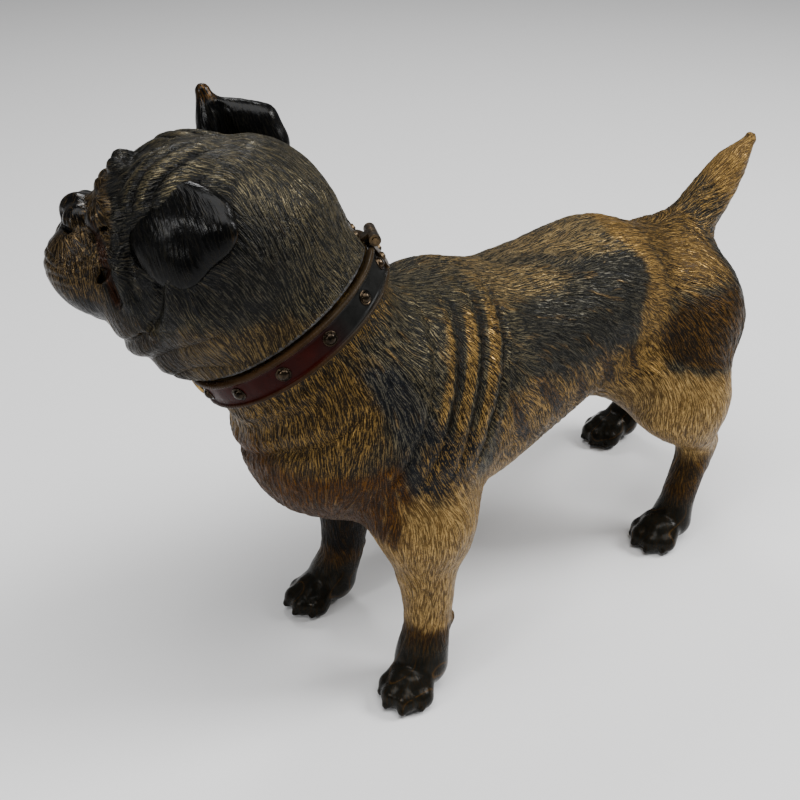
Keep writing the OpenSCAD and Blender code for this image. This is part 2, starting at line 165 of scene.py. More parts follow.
class Field:
    """A signed distance field on a regular grid, in millimetres, negative inside."""

    def __init__(self, low, high, voxel):
        self.low = np.array(low, float)
        self.voxel = voxel
        count = np.ceil((np.array(high) - self.low) / voxel).astype(int) + 1
        self.d = np.full(count, FAR, np.float32)

    def block(self, low, high):
        """The slices of the grid between two corners, and their X, Y and Z."""
        first = np.clip(np.floor((np.array(low) - self.low) / self.voxel).astype(int), 0, None)
        last = np.minimum(np.ceil((np.array(high) - self.low) / self.voxel).astype(int) + 1, self.d.shape)
        slices = tuple(slice(a, b) for a, b in zip(first, last))
        axes = [
            (self.low[i] + self.voxel * np.arange(first[i], last[i])).astype(np.float32) for i in range(3)
        ]
        return slices, axes[0][:, None, None], axes[1][None, :, None], axes[2][None, None, :]

    def join(self, shape, soft, sign):
        distance, low, high = shape
        slices, x, y, z = self.block(np.array(low) - soft - 3, np.array(high) + soft + 3)
        old, new = sign * self.d[slices], distance(x, y, z)
        mix = np.maximum(soft - np.abs(old - new), 0) / soft
        self.d[slices] = sign * (np.minimum(old, new) - mix * mix * soft / 4)

    def add(self, shape, soft):
        """Joins a shape on, with a fillet of about soft."""
        self.join(shape, soft, 1)

    def cut(self, shape, soft):
        """Takes a shape away, with an edge rounded by about soft."""
        self.join(shape, soft, -1)

    def surface(self):
        """The zero surface as points and outward quads."""
        grid = vdb.FloatGrid(FAR)
        grid.copyFromArray(self.d)
        points, quads = grid.convertToQuads(0.0)
        points = points.astype(np.float64) * self.voxel + self.low
        quads = quads.astype(np.int64)
        a, b, c, d = (points[quads[:, i]] for i in range(4))
        volume = (a * np.cross(b, c)).sum() + (a * np.cross(c, d)).sum()
        return points, quads[:, ::-1] if volume < 0 else quads


def eased(at, stations, values):
    """A smooth curve through values at stations, level at both ends."""
    slope = np.zeros(len(values))
    if len(values) > 2:
        slope[1:-1] = (values[2:] - values[:-2]) / (stations[2:] - stations[:-2])
    i = np.clip(np.searchsorted(stations, at, "right") - 1, 0, len(values) - 2)
    step = stations[i + 1] - stations[i]
    t = (at - stations[i]) / step
    return (
        values[i] * (1 + 2 * t) * (1 - t) ** 2 + values[i + 1] * t * t * (3 - 2 * t)
        + slope[i] * step * t * (1 - t) ** 2 + slope[i + 1] * step * t * t * (t - 1)
    )


def corners_of(place, low, high):
    """The corners of a local box, in the figure's frame."""
    return np.array([to_world(place, (x, y, z)) for x in (low[0], high[0])
                     for y in (low[1], high[1]) for z in (low[2], high[2])])


def limb(balls, place=None, flat=(1, 1, 1)):
    """(distance, low, high) of a round skin swept through balls, whose chord never turns back.

    flat squeezes it along the axes of place, about their origin.
    """
    place = place or Matrix()
    b = np.array(balls, float)
    b[:, :3] /= flat
    span = b[-1, :3] - b[0, :3]
    length = np.linalg.norm(span)
    axis = span / length
    stations = (b[:, :3] - b[0, :3]) @ axis
    fine = np.linspace(0, length, 120)
    curve = [
        eased(fine, stations, b[:, i] - b[0, i] - stations * axis[i]) + fine * axis[i] for i in range(3)
    ]
    radius = eased(fine, stations, b[:, 3])
    back = np.array(place.inverted())

    def distance(x, y, z):
        given = (x, y, z)
        d = []
        for i in range(3):
            terms = [back[i][j] * given[j] for j in range(3) if abs(back[i][j]) > 1e-9]
            d.append((sum(terms) + back[i][3]) / flat[i] - b[0, i])
        along = sum(d[i] * axis[i] for i in range(3) if abs(axis[i]) > 1e-9)
        along = np.clip(along, 0, length)
        off = sum((d[i] - np.interp(along, fine, curve[i])) ** 2 for i in range(3))
        return ((np.sqrt(off) - np.interp(along, fine, radius)) * min(flat)).astype(np.float32)

    reach = radius.max() * 1.02
    middle = np.array([c + b[0, i] for i, c in enumerate(curve)])
    low, high = (middle.min(axis=1) - reach) * flat, (middle.max(axis=1) + reach) * flat
    box = corners_of(place, low, high)
    return distance, box.min(axis=0), box.max(axis=0)


def drum(place, r, z0, z1):
    """(distance, low, high) of a cylinder about a local frame's z axis."""
    back = np.array(place.inverted(), np.float32)

    def distance(x, y, z):
        lx, ly, lz = (back[i][0] * x + back[i][1] * y + back[i][2] * z + back[i][3] for i in range(3))
        return np.maximum(np.sqrt(lx * lx + ly * ly) - r, np.maximum(z0 - lz, lz - z1))

    ends = np.array([to_world(place, (0, 0, z)) for z in (z0, z1)])
    return distance, ends.min(axis=0) - r, ends.max(axis=0) + r


def brick(place, low, high):
    """(distance, low, high) of a box in a local frame."""
    back = np.array(place.inverted(), np.float32)
    mid, half = (np.array(low) + np.array(high)) / 2, (np.array(high) - np.array(low)) / 2

    def distance(x, y, z):
        best = None
        for i in range(3):
            value = back[i][0] * x + back[i][1] * y + back[i][2] * z + back[i][3]
            side = np.abs(value - np.float32(mid[i])) - np.float32(half[i])
            best = side if best is None else np.maximum(best, side)
        return best

    box = corners_of(place, low, high)
    return distance, box.min(axis=0), box.max(axis=0)


def shrunk(balls, by):
    return [(b[0], b[1], b[2], b[3] - by) for b in balls]


# ---- the casting's forms ----

def toes(field, heel, fan):
    """Four toes fanned out in front of a paw, each with a knuckle and a blunt claw."""
    for i in range(4):
        outer = i in (0, 3)
        place = Matrix.Translation((heel[0], heel[1], 0)) @ turn("Z", 180 + fan + (i - 1.5) * 20)
        tip = 10.8 if outer else 13.2
        field.add(limb([(1, 0, 8, 4.8), (tip - 4, 0, 6.8, 4.5), (tip, 0, 4, 4.2)], place), 0.9)
        field.add(limb([(tip + 1.8, 0, 3.8, 1.9), (tip + 3.8, 0, 2.3, 1.3)], place), 0.7)


def trunk_field():
    """Body, legs and tail in one, hollow, open at the neck and at the coin slot."""
    field = Field(*TRUNK_BOX, TRUNK_VOXEL)
    field.add(limb(CHEST + LOIN[1:]), 1)
    field.add(limb(BRISKET), 12)
    below, above = to_world(NECK, (0, 0, -26)), to_world(NECK, (0, 0, 2))
    field.add(limb([(-26, 0, 96, 31), (*below, 30), (*above, 29.4)]), 14)
    for balls in (LEFT_SHOULDER, RIGHT_SHOULDER, LEFT_THIGH, RIGHT_THIGH):
        field.add(limb(balls), 11)
    for balls in (FRONT_LEFT, FRONT_RIGHT, REAR_LEFT, REAR_RIGHT):
        field.add(limb(balls), 7)
    for balls, soft in LEG_MASSES:
        field.add(limb(balls), soft)
    field.add(limb(TAIL), 9)
    for heel, fan in PAWS:
        toes(field, heel, fan)
    field.cut(brick(Matrix(), (-200, -200, -60), (200, 200, 0.3)), 1.0)
    # hollow, open at the neck, with the coin slot on the far side of the back
    field.cut(limb(shrunk(CHEST + LOIN[1:], WALL)), 1)
    field.cut(limb([(-29, 0, 93, 26), (*to_world(NECK, (1.5, 0, -14)), 23)]), 1)
    field.cut(drum(NECK, TUBE_OUT_R + 0.1, -12.2, 40), 0.4)
    slot_low = (SLOT[0] - SLOT_HALF_X, SLOT[1] - SLOT_HALF_Y, 80)
    slot_high = (SLOT[0] + SLOT_HALF_X, SLOT[1] + SLOT_HALF_Y, 140)
    field.cut(brick(Matrix(), slot_low, slot_high), 0.5)
    field.cut(drum(NECK, 60, SHELL_TOP_Z, 60), 0.4)
    return field


def mirrored(balls, side):
    return [(b[0], b[1] * side, b[2], b[3]) for b in balls]


def head_field():
    """The head without its ears, hollow and open at the neck."""
    field = Field(*HEAD_BOX, HEAD_VOXEL)

    def add(balls, soft, side=1):
        field.add(limb(mirrored(balls, side), HEAD), soft)

    def cut(balls, soft, side=1):
        field.cut(limb(mirrored(balls, side), HEAD), soft)

    add(SKULL, 1)
    base, up = to_world(NECK, (0, 0, 4)), to_world(NECK, (0, 0, 20))
    field.add(limb([(*base, 30.4), (*up, 27.6)]), 9)
    for side in (1, -1):
        for balls, soft in ((BROW, 5), (CHEEK, 7), (JOWL, 6), (FLEW, 2.2), (LIP, 4)):
            add(balls, soft, side)
    add(CHIN, 2)
    # short bridge and broad nose pad, the line under it and the groove in the lip
    add([(26, 0, 5, 10.5), (36, 0, 1.6, 7.2)], 4)
    add([(38.4, -4.6, 4.4, 4.6), (39.6, 0, 5.2, 5.0), (38.4, 4.6, 4.4, 4.6)], 1.4)
    cut([(43.6, -6, -0.6, 0.9), (45.4, 0, -0.4, 1.0), (43.6, 6, -0.6, 0.9)], 1.2)
    cut([(45.4, 0, 1.4, 0.7), (47.6, 0, -7, 0.9), (44.4, 0, -16, 0.8)], 1.2)
    for side in (1, -1):
        # nostril and its slit
        cut([(42.6, 3, 4.6, 1.4), (47, 3.6, 5, 1.9)], 0.7, side)
        cut([(42.4, 5.8, 3.2, 0.8), (39.6, 9.4, 2.4, 1.0)], 0.7, side)
        # eyeball between heavy lids
        cut([(30.4, 12, 7.6, 4.2), (35, 13.6, 7.6, 4.8)], 2, side)
        add([(30.2, 12, 7.4, 4.3), (30.6, 12.2, 7.4, 4.3)], 0.2, side)
        add([(30, 6.4, 11, 2.2), (30.4, 12, 11.4, 2.3), (25.6, 17, 9, 2)], 1.2, side)
        add([(32, 8, 3.2, 1.8), (30.4, 13, 2.8, 2), (26, 16.8, 4.8, 1.8)], 1.2, side)
        # fold that drops from the bridge past the corner of the mouth, with its groove in front
        add(CHEEK_FOLD, 1.6, side)
        cut([(f + 3.4, l - 0.2, u, 1.0) for f, l, u, _ in CHEEK_FOLD], 1.6, side)
        cut(MOUTH_CORNER, 1.4, side)
        # small lump on the jowl, and the dewlap
        add([(19, 22.4, -19.4, 2.2), (19.4, 23.2, -19.6, 1.9)], 1, side)
        add([(20, 5, -26, 8), (15, 11, -33, 5)], 5, side)
    # rolls over the bridge of the nose
    for u, f, r in ((13.4, 31.6, 2.0), (18.4, 27.4, 2.4)):
        add([(f - 4, -8, u - 2.6, r), (f, -3.5, u, r), (f - 0.6, 0, u - 0.9, r * 0.8),
             (f, 3.5, u, r), (f - 4, 8, u - 2.6, r)], 2.4)
    # hollow inside, open downwards
    cut(shrunk(SKULL, WALL), 1)
    inner = to_world(HEAD, (-3, 0, -2))
    field.cut(limb([(*to_world(NECK, (0, 0, 12)), 25.6), (*inner, 24)]), 1)
    field.cut(drum(NECK, HEAD_BORE_R, 0, 12), 0.3)
    field.cut(drum(NECK, 60, -60, HEAD_Z), 0.6)
    # flat seat for the hinge leaf
    seat = NECK @ turn("Z", 180)
    field.cut(brick(seat, (HEAD_BASE_R - 0.2, -5.5, 4), (60, 5.5, 14.3)), 0.2)
    return field


def ear_field(place, balls, cuts, low, high):
    """A thick modelled ear, sunk a little into the skull. balls and cuts are (balls, flat, soft)."""
    box = corners_of(HEAD, low, high)
    field = Field(box.min(axis=0), box.max(axis=0), EAR_VOXEL)
    for chain, flat, soft in balls:
        field.add(limb(chain, place, flat), soft)
    for chain, flat, soft in cuts:
        field.cut(limb(chain, place, flat), soft)
    return field


# ---- chased hair ----

# cells along each side of the repeating lattice, and samples along a streak
LATTICE, STREAK_SAMPLES = 64, 13


def lattice(table, at):
    """Smooth values between the random ones of a repeating lattice."""
    cell = np.floor(at).astype(np.int64)
    t = (at - cell).astype(np.float32)
    t = t * t * (3 - 2 * t)
    ends = [(cell % LATTICE)[:, i] for i in range(3)], [((cell + 1) % LATTICE)[:, i] for i in range(3)]
    total = np.zeros(len(at), np.float32)
    for corner in range(8):
        pick = [(corner >> i) & 1 for i in range(3)]
        weight = np.ones(len(at), np.float32)
        for i in range(3):
            weight *= t[:, i] if pick[i] else 1 - t[:, i]
        total += weight * table[tuple(ends[pick[i]][i] for i in range(3))]
    return total


def combing(points, normals, flow):
    """The way each hair lies on the surface: flow, swayed a little from lock to lock."""
    along = flow + 0.2 * waves(points, 13, 80)[:, None] * np.cross(normals, flow)
    return unit(along - (along * normals).sum(axis=1, keepdims=True) * normals)


def combed(points, along, length, width, seed):
    """Even values from 0 to 1, drawn out into streaks of about a length and width."""
    table = np.random.default_rng(seed).random((LATTICE, LATTICE, LATTICE)).astype(np.float32)
    total = np.zeros(len(points))
    for t in np.linspace(-0.5, 0.5, STREAK_SAMPLES):
        total += (1 - abs(t)) * lattice(table, (points + along * np.multiply(t, length)[:, None]) / width)
    rank = np.empty(len(points))
    rank[np.argsort(total, kind="stable")] = np.arange(len(points)) / len(points)
    return rank


def finer(points, quads, chosen):
    """Splits the chosen quads in four; a neighbour of one gains the points on their shared edges.

    Returns the points, the quads and the neighbours as lists of corners.
    """
    ends = np.stack([quads, np.roll(quads, -1, axis=1)], axis=2).reshape(-1, 2)
    key = ends.min(axis=1) * len(points) + ends.max(axis=1)
    edge, where = np.unique(key, return_inverse=True)
    halved = np.zeros(len(edge), bool)
    halved[where[np.repeat(chosen, 4)]] = True
    middles = (points[edge[halved] // len(points)] + points[edge[halved] % len(points)]) / 2
    number = np.where(halved, np.cumsum(halved) - 1 + len(points), -1)
    middle = number[where].reshape(-1, 4)
    centres = points[quads[chosen]].mean(axis=1)
    centre = np.arange(len(centres)) + len(points) + len(middles)
    q, m = quads[chosen], middle[chosen]
    small = [np.stack([q[:, i], m[:, i], centre, m[:, i - 1]], axis=1) for i in range(4)]
    q, m = quads[~chosen], middle[~chosen]
    beside = (m >= 0).any(axis=1)
    many = [
        [k for pair in zip(corners, extra) for k in pair if k >= 0]
        for corners, extra in zip(q[beside].tolist(), m[beside].tolist())
    ]
    points = np.concatenate([points, middles, centres])
    return points, np.concatenate(small + [q[~beside]]), many


class Skin:
    """Points, faces, normals and painted values of one modelled skin."""

    def __init__(self, field, is_outer=None):
        self.points, self.quads = field.surface()
        self.many = []
        self.values = {}
        self.update()
        if is_outer:
            outer = is_outer(self.points, self.normals) > 0.5
            chosen = outer[self.quads].all(axis=1)
            self.points, self.quads, self.many = finer(self.points, self.quads, chosen)
            self.update()

    def update(self):
        p = self.points[self.quads]
        face = np.cross(p[:, 2] - p[:, 0], p[:, 3] - p[:, 1])
        n = np.zeros_like(self.points)
        for i in range(4):
            for j in range(3):
                n[:, j] += np.bincount(self.quads[:, i], face[:, j], len(self.points))
        self.normals = n / (np.linalg.norm(n, axis=1, keepdims=True) + 1e-12)

    def push(self, height):
        """Moves each point out along its normal."""
        self.points = self.points + self.normals * height[:, None]
        self.update()

    def mesh(self, name, shift=True):
        points = to_metres(self.points) if shift else self.points
        return make_mesh(name, points, self.quads.tolist() + self.many, self.values)


def unit(v):
    return v / (np.linalg.norm(v, axis=-1, keepdims=True) + 1e-9)


def mixed(a, b, w):
    """From a to b, point by point, as w goes from 0 to 1; either may be one colour or direction."""
    a, b = np.asarray(a), np.asarray(b)
    return a + (b - a) * w[:, None]


# ---- painting: colours are linear red, green and blue ----

def srgb(r, g, b):
    v = np.array([r, g, b]) / 255
    return np.where(v < 0.04045, v / 12.92, ((v + 0.055) / 1.055) ** 2.4)


JET = srgb(17, 18, 19)
SLATE = srgb(32, 32, 28)
UMBER = srgb(44, 33, 18)
CHESTNUT = srgb(70, 46, 18)
BRANDY = srgb(46, 25, 2)
AMBER = srgb(112, 70, 10)
GOLD = srgb(142, 112, 60)
OCHRE = srgb(118, 84, 36)
TAN = srgb(100, 76, 40)
BUFF = srgb(134, 110, 68)
ORANGE = srgb(146, 104, 48)
ASH = srgb(104, 99, 84)
PEWTER = srgb(112, 102, 76)
OLD_GOLD = (GOLD + PEWTER) / 2
OLD_BRONZE = (OCHRE + PEWTER) / 2
BLUE = srgb(22, 24, 28)


def waves(points, scale, seed):
    """Smooth noise of about -1..1 from a few crossing waves."""
    r = np.random.default_rng(seed)
    total = np.zeros(len(points))
    for _ in range(7):
        direction = r.normal(size=3)
        direction /= np.linalg.norm(direction)
        total += np.sin(points @ direction * (2 * math.pi / scale) * r.uniform(0.6, 1.5) + r.uniform(0, 6.3))
    return total / 3.2


class Paint:
    """Layers of cold paint: a dark ground, and a colour rubbed over the tops of the hair by some amount."""

    def __init__(self, ridge, tone, ground, rubbed, amount):
        many = (len(tone), 1)
        self.ridge, self.tone = ridge, tone
        self.ground, self.rubbed = np.tile(ground, many), np.tile(rubbed, many)
        self.amount = np.full(len(tone), amount)

    def over(self, mask, ground, rubbed, amount):
        """A layer where mask is high, its edge broken up a little from lock to lock."""
        mask = ramp(mask + 0.35 * (self.tone - 0.5) + 0.12 * (self.ridge - 0.5), 0.1, 0.9)
        self.ground = mixed(self.ground, ground, mask)
        self.rubbed = mixed(self.rubbed, rubbed, mask)
        self.amount = self.amount + (amount - self.amount) * mask

    def values(self):
        """What the material reads: the two colours, and how readily each spot takes the rubbed one."""
        catch = 0.7 * self.amount + 0.26 * (self.ridge - 0.5) + 0.12 * (self.tone - 0.5)
        return {"Coat": self.ground, "Rubbed": self.rubbed, "Catch": catch}


def flow_on_trunk(p):
    """The way the hair lies."""
    x, _, z = p.T
    near_neck = np.clip(lump(p, to_world(NECK, (0, 0, 0)), 50) * 1.6, 0, 1)
    on_tail = ramp(local(TAIL_SIDE, p)[:, 2], -4, 4) * ramp(x, 90, 98)
    flow = (0.9, 0, -0.3)
    for way, where in (
        ((0.62, 0, -0.75), ramp(z, 118, 92)),
        ((0.4, 0, -0.9), ramp(x, 0, -30)),
        ((0.05, 0, -1), ramp(z, 76, 58)),
        ((-0.1, 0, -1), ramp(x, -52, -66)),
        ((0.3, 0, -0.95), ramp(x, 74, 96)),
        (-axis_of(NECK, 2) + [0.25, 0, -0.1], near_neck),
        (axis_of(TAIL_SIDE, 2) * 0.8 + [0.2, 0, -0.35], on_tail),
    ):
        flow = mixed(flow, way, where)
    return unit(flow)


def crests(distance, pitch):
    """1 on the tops of a row of rounded folds a pitch apart, 0 in the grooves between them."""
    return np.abs(np.sin(math.pi * distance / pitch))


def shoulder_folds(lean):
    return np.abs(np.cos(math.pi * (lean + FOLD_FIRST) / FOLD_PITCH))


def about_neck(p, n):
    """Points in the neck's frame, how far they are from its axis, and which of them face it."""
    q = local(NECK, p)
    facing = ((q[:, :2] @ np.array(NECK)[:3, :2].T) * n).sum(axis=1) < 0
    return q, np.hypot(q[:, 0], q[:, 1]), facing


def from_slot(p):
    """How far points are, seen from above, from the coin slot's middle line."""
    past_end = np.clip(np.abs(p[:, 0] - SLOT[0]) - SLOT_HALF_X + SLOT_HALF_Y, 0, None)
    return np.hypot(past_end, p[:, 1] - SLOT[1])


def trunk_outer(p, n):
    """1 on the modelled outside, 0 on the chamber, the bore and the rim at the neck."""
    b = np.array(CHEST + LOIN[1:], float)
    x = np.clip(p[:, 0], b[0, 0], b[-1, 0])
    away = p - np.stack([x, 0 * x, eased(x, b[:, 0], b[:, 2])], axis=1)
    inward = (away * n).sum(axis=1) < 0
    chamber = inward & (np.linalg.norm(away, axis=1) < eased(x, b[:, 0], b[:, 3]) - WALL + 1.5)
    q, r, facing = about_neck(p, n)
    throat = facing & (r < 29) & (q[:, 2] > -50)
    rim = (q[:, 2] > SHELL_TOP_Z - 0.8) & (r < 32)
    slot = (from_slot(p) < SLOT_HALF_Y + 0.3) & (p[:, 2] > 80)
    return 1.0 - (chamber | throat | rim | slot)


def finish_trunk():
    skin = Skin(trunk_field(), trunk_outer)
    p = skin.points
    x, y, z = p.T
    side = np.abs(y)
    outer = trunk_outer(p, skin.normals)
    # three rolls of loose skin behind the shoulder blade
    lean = x - 0.58 * (z - 123) + 0.8 * waves(p, 50, 3)
    where = ramp(lean, -42, -36) * ramp(lean, -1, -7) * ramp(z, 76, 90) * ramp(z, 129, 121)
    where = where * ramp(side, 5, 14) * ramp(from_slot(p), 6, 11)
    height = 1.4 * (shoulder_folds(lean) ** 0.7 - 0.6) * where
    # creases that ring the throat, a shallow groove along the back, and the cast's slight waviness
    q = local(NECK, p)
    throat = ramp(np.abs(np.degrees(np.arctan2(q[:, 1], q[:, 0]))), 125, 75)
    along = q[:, 2] + 1.2 * waves(p, 40, 5)
    height -= 1.3 * np.exp(-(((along + 25) / 1.5) ** 2)) * throat
    height += 0.9 * (np.exp(-(((along + 20) / 2.6) ** 2)) + np.exp(-(((along + 11) / 2.4) ** 2))) * throat
    height -= 0.7 * ramp(side, 5, 0) * ramp(z, 100, 112) * ramp(x, -30, -10) * ramp(x, 70, 50)
    height += 0.22 * waves(p, 26, 11)
    skin.push(height * outer)
    # chased hair, short on the legs and none on the paws
    leg, paw = ramp(z, 66, 52), ramp(z, 19, 13)
    fine = np.clip(leg + ramp(z, 76, 64) * ramp(x, -30, -10), 0, 1)
    along = combing(p, skin.normals, flow_on_trunk(p))
    ridge = combed(skin.points, along, 5 - 2 * fine, 0.36, 81)
    tone = combed(skin.points, along, 6 - 2 * fine, 1.0, 82)
    relief = outer * (1 - paw) * np.where(z > 90, ramp(from_slot(p), 3, 5), 1)
    skin.push(relief * (0.3 - 0.16 * fine) * (ridge + tone - 1))
    skin.values = trunk_paint(p, ridge * (1 - paw), tone).values() | {
        "Comb": along,
        "Ridge": ridge * (1 - paw) + paw,
        "Gloss": 0.15 + 0.75 * paw,
        "Inside": 1 - outer,
    }
    return skin


def trunk_paint(p, ridge, tone):
    x, y, z = p.T
    side = np.abs(y)
    wander = waves(p, 34, 21)

    def edge(value, start, end, stray=3):
        """A ramp whose place strays over the coat."""
        return ramp(value + stray * wander, start, end)

    paint = Paint(ridge, tone, SLATE * 0.6, PEWTER * 0.65, 0.45)
    # gold along the back, dark saddle, brown chest and throat
    paint.over(edge(z, 113, 121) * ramp(x, -24, 0), SLATE, OLD_GOLD, 0.75)
    saddle = edge(z, 84, 96) * edge(z, 121, 111, 4) * ramp(x, -10, 6)
    paint.over(saddle * edge(x, 60, 42, 5), SLATE * 0.5, ASH * 0.38, 0.4)
    q = local(NECK, p)
    paint.over(ramp(q[:, 2], -14, -4) * ramp(q[:, 2], 8, 4), SLATE, GOLD * 0.75, 0.55)
    paint.over(edge(x, -50, -68, 5) * ramp(z, 130, 112), UMBER * 0.8, GOLD * 0.7, 0.55)
    paint.over(edge(x, -42, -60, 5) * edge(z, 98, 84, 5), BRANDY, AMBER * 0.6, 0.45)
    # gold crests of the folds
    lean = x - 0.58 * (z - 123)
    crest = shoulder_folds(lean)
    band = ramp(lean, -33, -27) * ramp(lean, -3, -8) * ramp(z, 82, 92) * ramp(z, 130, 116)
    paint.over(band * ramp(crest, 0.5, 0.9) * (0.8 + 0.35 * wander), UMBER * 0.7, GOLD, 0.75)
    paint.over(band * ramp(crest, 0.5, 0.15), SLATE * 0.6, UMBER, 0.3)
    # black stripe and patch on the shoulder
    stripe = np.abs(x + 56 - 0.42 * (111 - z)) - ramp(z, 104, 84) * 4
    paint.over(ramp(stripe, 9, 3) * edge(z, 66, 76) * ramp(z, 122, 114) * ramp(-y, 8, 16),
               BLUE * 0.8, ASH * 0.6, 0.35)
    paint.over(ramp(x, -54, -46) * ramp(x, -26, -34) * edge(z, 66, 76, 4) * ramp(z, 98, 88),
               BLUE * 0.8, GOLD * 0.8, 0.35)
    # flank: gold streaks between dark bars, then the pale belly
    low = edge(z, 98, 86, 4) * ramp(x, -26, -16) * ramp(x, 68, 56)
    paint.over(low, UMBER * 0.8, GOLD * 0.85, 0.7)
    bars = np.sin((x + 0.5 * (z - 90) + 2.5 * waves(p, 40, 31)) * 2 * math.pi / 14)
    paint.over(low * ramp(bars, 0.1, 0.8) * ramp(z, 74, 84), JET, OCHRE * 0.6, 0.4)
    under = edge(z, 77, 66) * ramp(x, -30, -22) * ramp(x, 74, 62)
    paint.over(under, TAN * 0.8, BUFF * 0.9, 0.7)
    # rump: gold flank, tan patch by the tail, dark thigh
    paint.over(edge(x, 48, 56) * ramp(x, 68, 60) * ramp(z, 70, 80), TAN * 0.5, GOLD * 0.95, 0.75)
    paint.over(ramp(x, 60, 68) * edge(z, 96, 106, 4), UMBER * 0.7, GOLD * 0.8, 0.6)
    hip = np.maximum(lump(p, (82, -17, 110), 15), lump(p, (84, 18, 110), 13))
    paint.over(np.clip(hip * 1.5, 0, 1), TAN * 0.55, GOLD * 0.66, 0.65)
    thigh = edge(x, 60, 70) * edge(z, 70, 80, 5) * edge(z, 104, 94)
    paint.over(thigh, UMBER * 0.5, OCHRE * 0.6, 0.45)
    paint.over(edge(x, 92, 102, 2) * ramp(z, 70, 82), SLATE * 0.7, ASH * 0.5, 0.45)
    # tan legs, the far foreleg dark, brown below the hocks
    leg = edge(z, 78, 66, 4) * np.where(x > 0, ramp(x, 54, 64), ramp(side, 6, 16))
    leg = leg * np.maximum(edge(x, -62, -50, 2), ramp(z, 62, 54))
    paint.over(leg, TAN * 1.2, BUFF * 1.4, 0.7)
    paint.over(leg * ramp(x, 20, 40) * edge(z, 44, 30, 2), UMBER, OCHRE * 0.5, 0.5)
    paint.over(ramp(x, 0, -20) * ramp(y, 4, 10) * ramp(z, 68, 56), JET * 0.4, OCHRE * 0.12, 0.35)
    paint.over(edge(z, 28, 18, 1.5), CHESTNUT * 0.4, OCHRE * 0.4, 0.5)
    paint.over(edge(z, 24, 13, 1.2), SLATE * 0.9, UMBER * 1.4, 0.5)
    # tail: dark root to a tan tip
    along = local(TAIL_SIDE, p)[:, 2]
    paint.over(ramp(along, -5, 3) * ramp(x, 92, 99), SLATE, GOLD * 0.7, 0.5)
    paint.over(ramp(along + 2 * wander - 0.3 * y, 8, 24) * ramp(x, 94, 99), TAN * 0.8, GOLD * 0.85, 0.75)
    # veins of bare bronze between the toes
    vein = ramp(np.abs(waves(p, 16, 35)), 0.07, 0.0) * ramp(z, 17, 12) * ramp(z, 2, 5)
    paint.ground = mixed(paint.ground, OCHRE * 0.7, vein * 0.7)
    return paint


def flow_on_head(p):
    """From the crown back and down to the collar, and down over the face."""
    f, _, u = local(HEAD, p).T
    forward, up = axis_of(HEAD, 0), axis_of(HEAD, 2)
    flow = mixed(-forward * 0.9 + up * 0.2, -forward * 0.3 - up, ramp(f, 8, -12))
    flow = mixed(flow, -forward * 0.5 - up, ramp(u, 4, -12))
    flow = mixed(flow, -forward * 0.2 - up, ramp(f, 26, 34))
    return unit(flow)


def head_outer(p, n):
    """1 on the modelled outside, 0 in the hollow, the bore and on the rim."""
    q = local(HEAD, p)
    inward = ((p - to_world(HEAD, (0, 0, -2))) * n).sum(axis=1) < 0
    hollow = inward & (np.linalg.norm(q - np.array([0, 0, -6]), axis=1) < 27)
    k, r, facing = about_neck(p, n)
    bore = facing & (r < HEAD_BORE_R + 0.8) & (k[:, 2] < 16)
    return 1.0 - (hollow | bore | (k[:, 2] < HEAD_Z + 0.7))


def brow_wrinkles(p):
    """How high each spot is on the wrinkles that run down over the brow, and where they are."""
    f, l, u = local(HEAD, p).T
    side = np.abs(l)
    crest = crests(0.63 * f - 0.75 * side - 0.15 * u + 0.5 * waves(p, 20, 41) - 2.9, 5.3)
    return crest, ramp(u, 10, 15) * ramp(f, -2, 7) * ramp(f, 27, 21) * ramp(side, 24, 18) * ramp(side, 1, 5)


